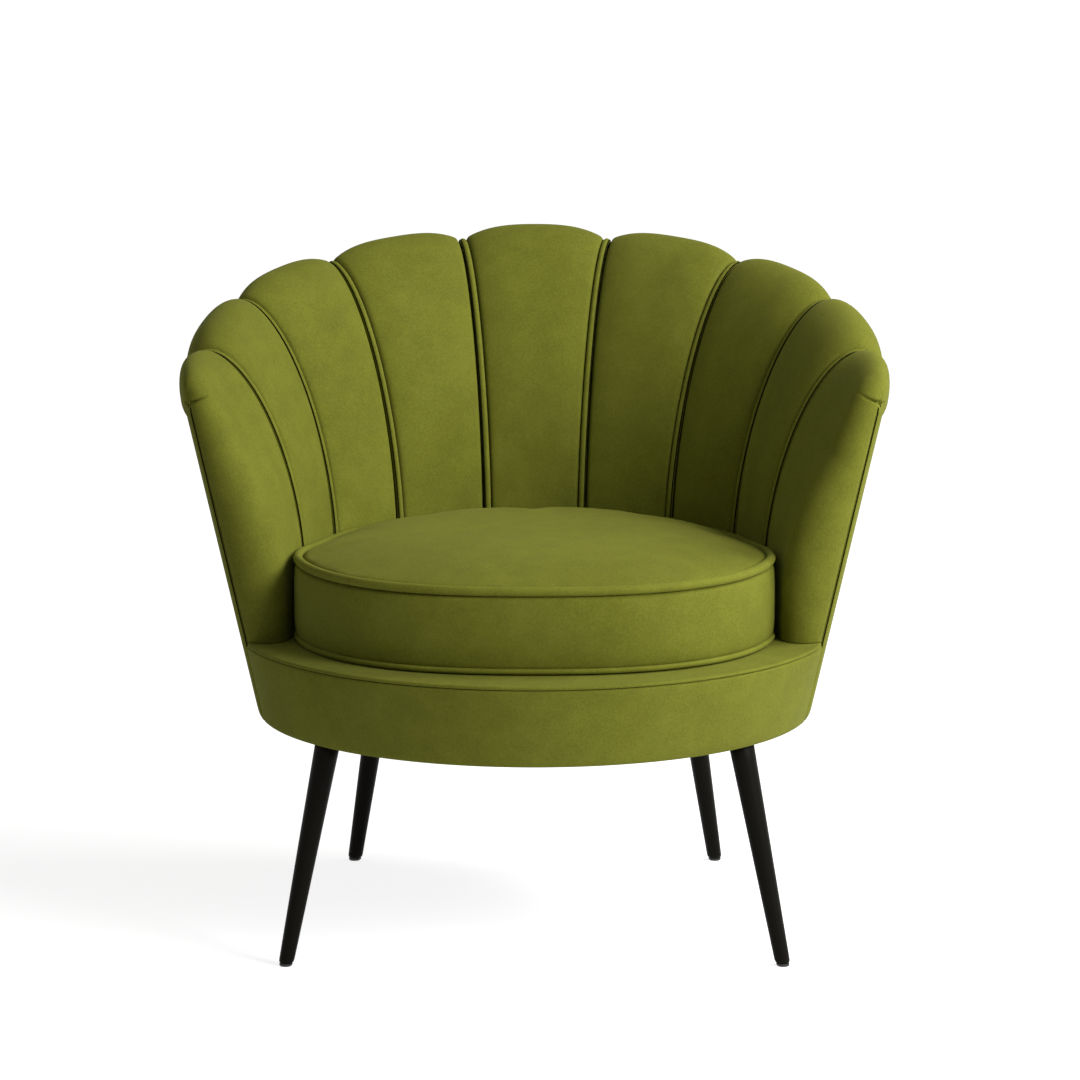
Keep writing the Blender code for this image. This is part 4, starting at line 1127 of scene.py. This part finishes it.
def build_stage():
    """A pale floor that is lit by the lamps and glows white towards the camera, more so further off."""
    mesh = bpy.data.meshes.new("floor")
    corners = ((-1.0, -1.0), (1.0, -1.0), (1.0, 1.0), (-1.0, 1.0))
    corners = [(FLOOR_HALF * aside, FLOOR_HALF * back, 0.0) for aside, back in corners]
    mesh.from_pydata(corners, [], [(0, 1, 2, 3)])
    floor = add_object("floor", mesh)
    graph = Graph("pale_floor")
    graph.shade(Base_Color=(0.82, 0.82, 0.82, 1.0), Roughness=0.9, Specular_IOR_Level=0.0)
    distance = graph.add("ShaderNodeVectorMath", operation="LENGTH")
    graph.put(graph.place, distance.inputs[0])
    glow = graph.add("ShaderNodeMapRange")
    graph.put(distance.outputs["Value"], glow.inputs["Value"])
    for name, value in (("From Min", 1.0), ("From Max", 3.0), ("To Min", 0.80), ("To Max", 0.90)):
        glow.inputs[name].default_value = value
    strength = graph.math("MULTIPLY", seen_ray(graph.nodes, graph.links), glow.outputs["Result"])
    seen = graph.add("ShaderNodeEmission")
    graph.put(strength, seen.inputs["Strength"])
    both = graph.add("ShaderNodeAddShader")
    graph.put(graph.shader.outputs[0], both.inputs[0])
    graph.put(seen.outputs[0], both.inputs[1])
    graph.put(both.outputs[0], graph.nodes["Material Output"].inputs["Surface"])
    mesh.materials.append(graph.material)


def seen_ray(nodes, links):
    """One for rays from the camera, a mirror or glass, and nought for the light that falls on things."""
    path = nodes.new("ShaderNodeLightPath")
    seen = path.outputs["Is Camera Ray"]
    for kind in ("Is Glossy Ray", "Is Transmission Ray"):
        either = nodes.new("ShaderNodeMath")
        either.operation = "MAXIMUM"
        links.new(seen, either.inputs[0])
        links.new(path.outputs[kind], either.inputs[1])
        seen = either.outputs[0]
    return seen


def add_area(name, azimuth, elevation, power):
    """A round soft light that faces the chair, from so many degrees right of the front and above level."""
    light = bpy.data.lights.new(name, "AREA")
    light.energy = power
    light.shape = "DISK"
    light.size = LAMP_SIZE
    lamp = add_object(name, light)
    azimuth, elevation = math.radians(azimuth), math.radians(elevation)
    level = LAMP_DISTANCE * math.cos(elevation)
    lamp.location = (
        level * math.sin(azimuth),
        AXIS_Y - level * math.cos(azimuth),
        LAMP_AIM + LAMP_DISTANCE * math.sin(elevation),
    )
    lamp.rotation_euler = (0.5 * math.pi - elevation, 0.0, azimuth)


def build_light():
    world = bpy.data.worlds.new("studio")
    bpy.context.scene.world = world
    world.use_nodes = True
    nodes, links = world.node_tree.nodes, world.node_tree.links
    ambient, white = nodes["Background"], nodes.new("ShaderNodeBackground")
    for background, strength in ((ambient, 0.155), (white, 1.0)):
        background.inputs["Color"].default_value = (1.0, 1.0, 1.0, 1.0)
        background.inputs["Strength"].default_value = strength
    mix = nodes.new("ShaderNodeMixShader")
    links.new(seen_ray(nodes, links), mix.inputs["Fac"])
    links.new(ambient.outputs[0], mix.inputs[1])
    links.new(white.outputs[0], mix.inputs[2])
    links.new(mix.outputs[0], nodes["World Output"].inputs["Surface"])
    add_area("key", 50.0, 25.0, 44.0)
    add_area("side", 94.0, 42.0, 39.0)


def build_camera():
    data = bpy.data.cameras.new("camera")
    data.lens = 181.5
    data.sensor_width = 36.0
    camera = add_object("camera", data)
    camera.location = (CAMERA_ASIDE, AXIS_Y - CAMERA_DISTANCE, CAMERA_HEIGHT)
    camera.rotation_euler = (0.5 * math.pi - CAMERA_TILT, 0.0, 0.0)
    bpy.context.scene.camera = camera


def main():
    bpy.context.scene.view_settings.view_transform = "Standard"
    build_camera()
    build_light()
    build_stage()
    build_channels()
    build_welts()
    build_outside()
    build_arm_welts()
    build_deck()
    build_cushion()
    build_legs()
    build_dust_cover()
    dress_frame()
    bpy.context.view_layer.update()


main()
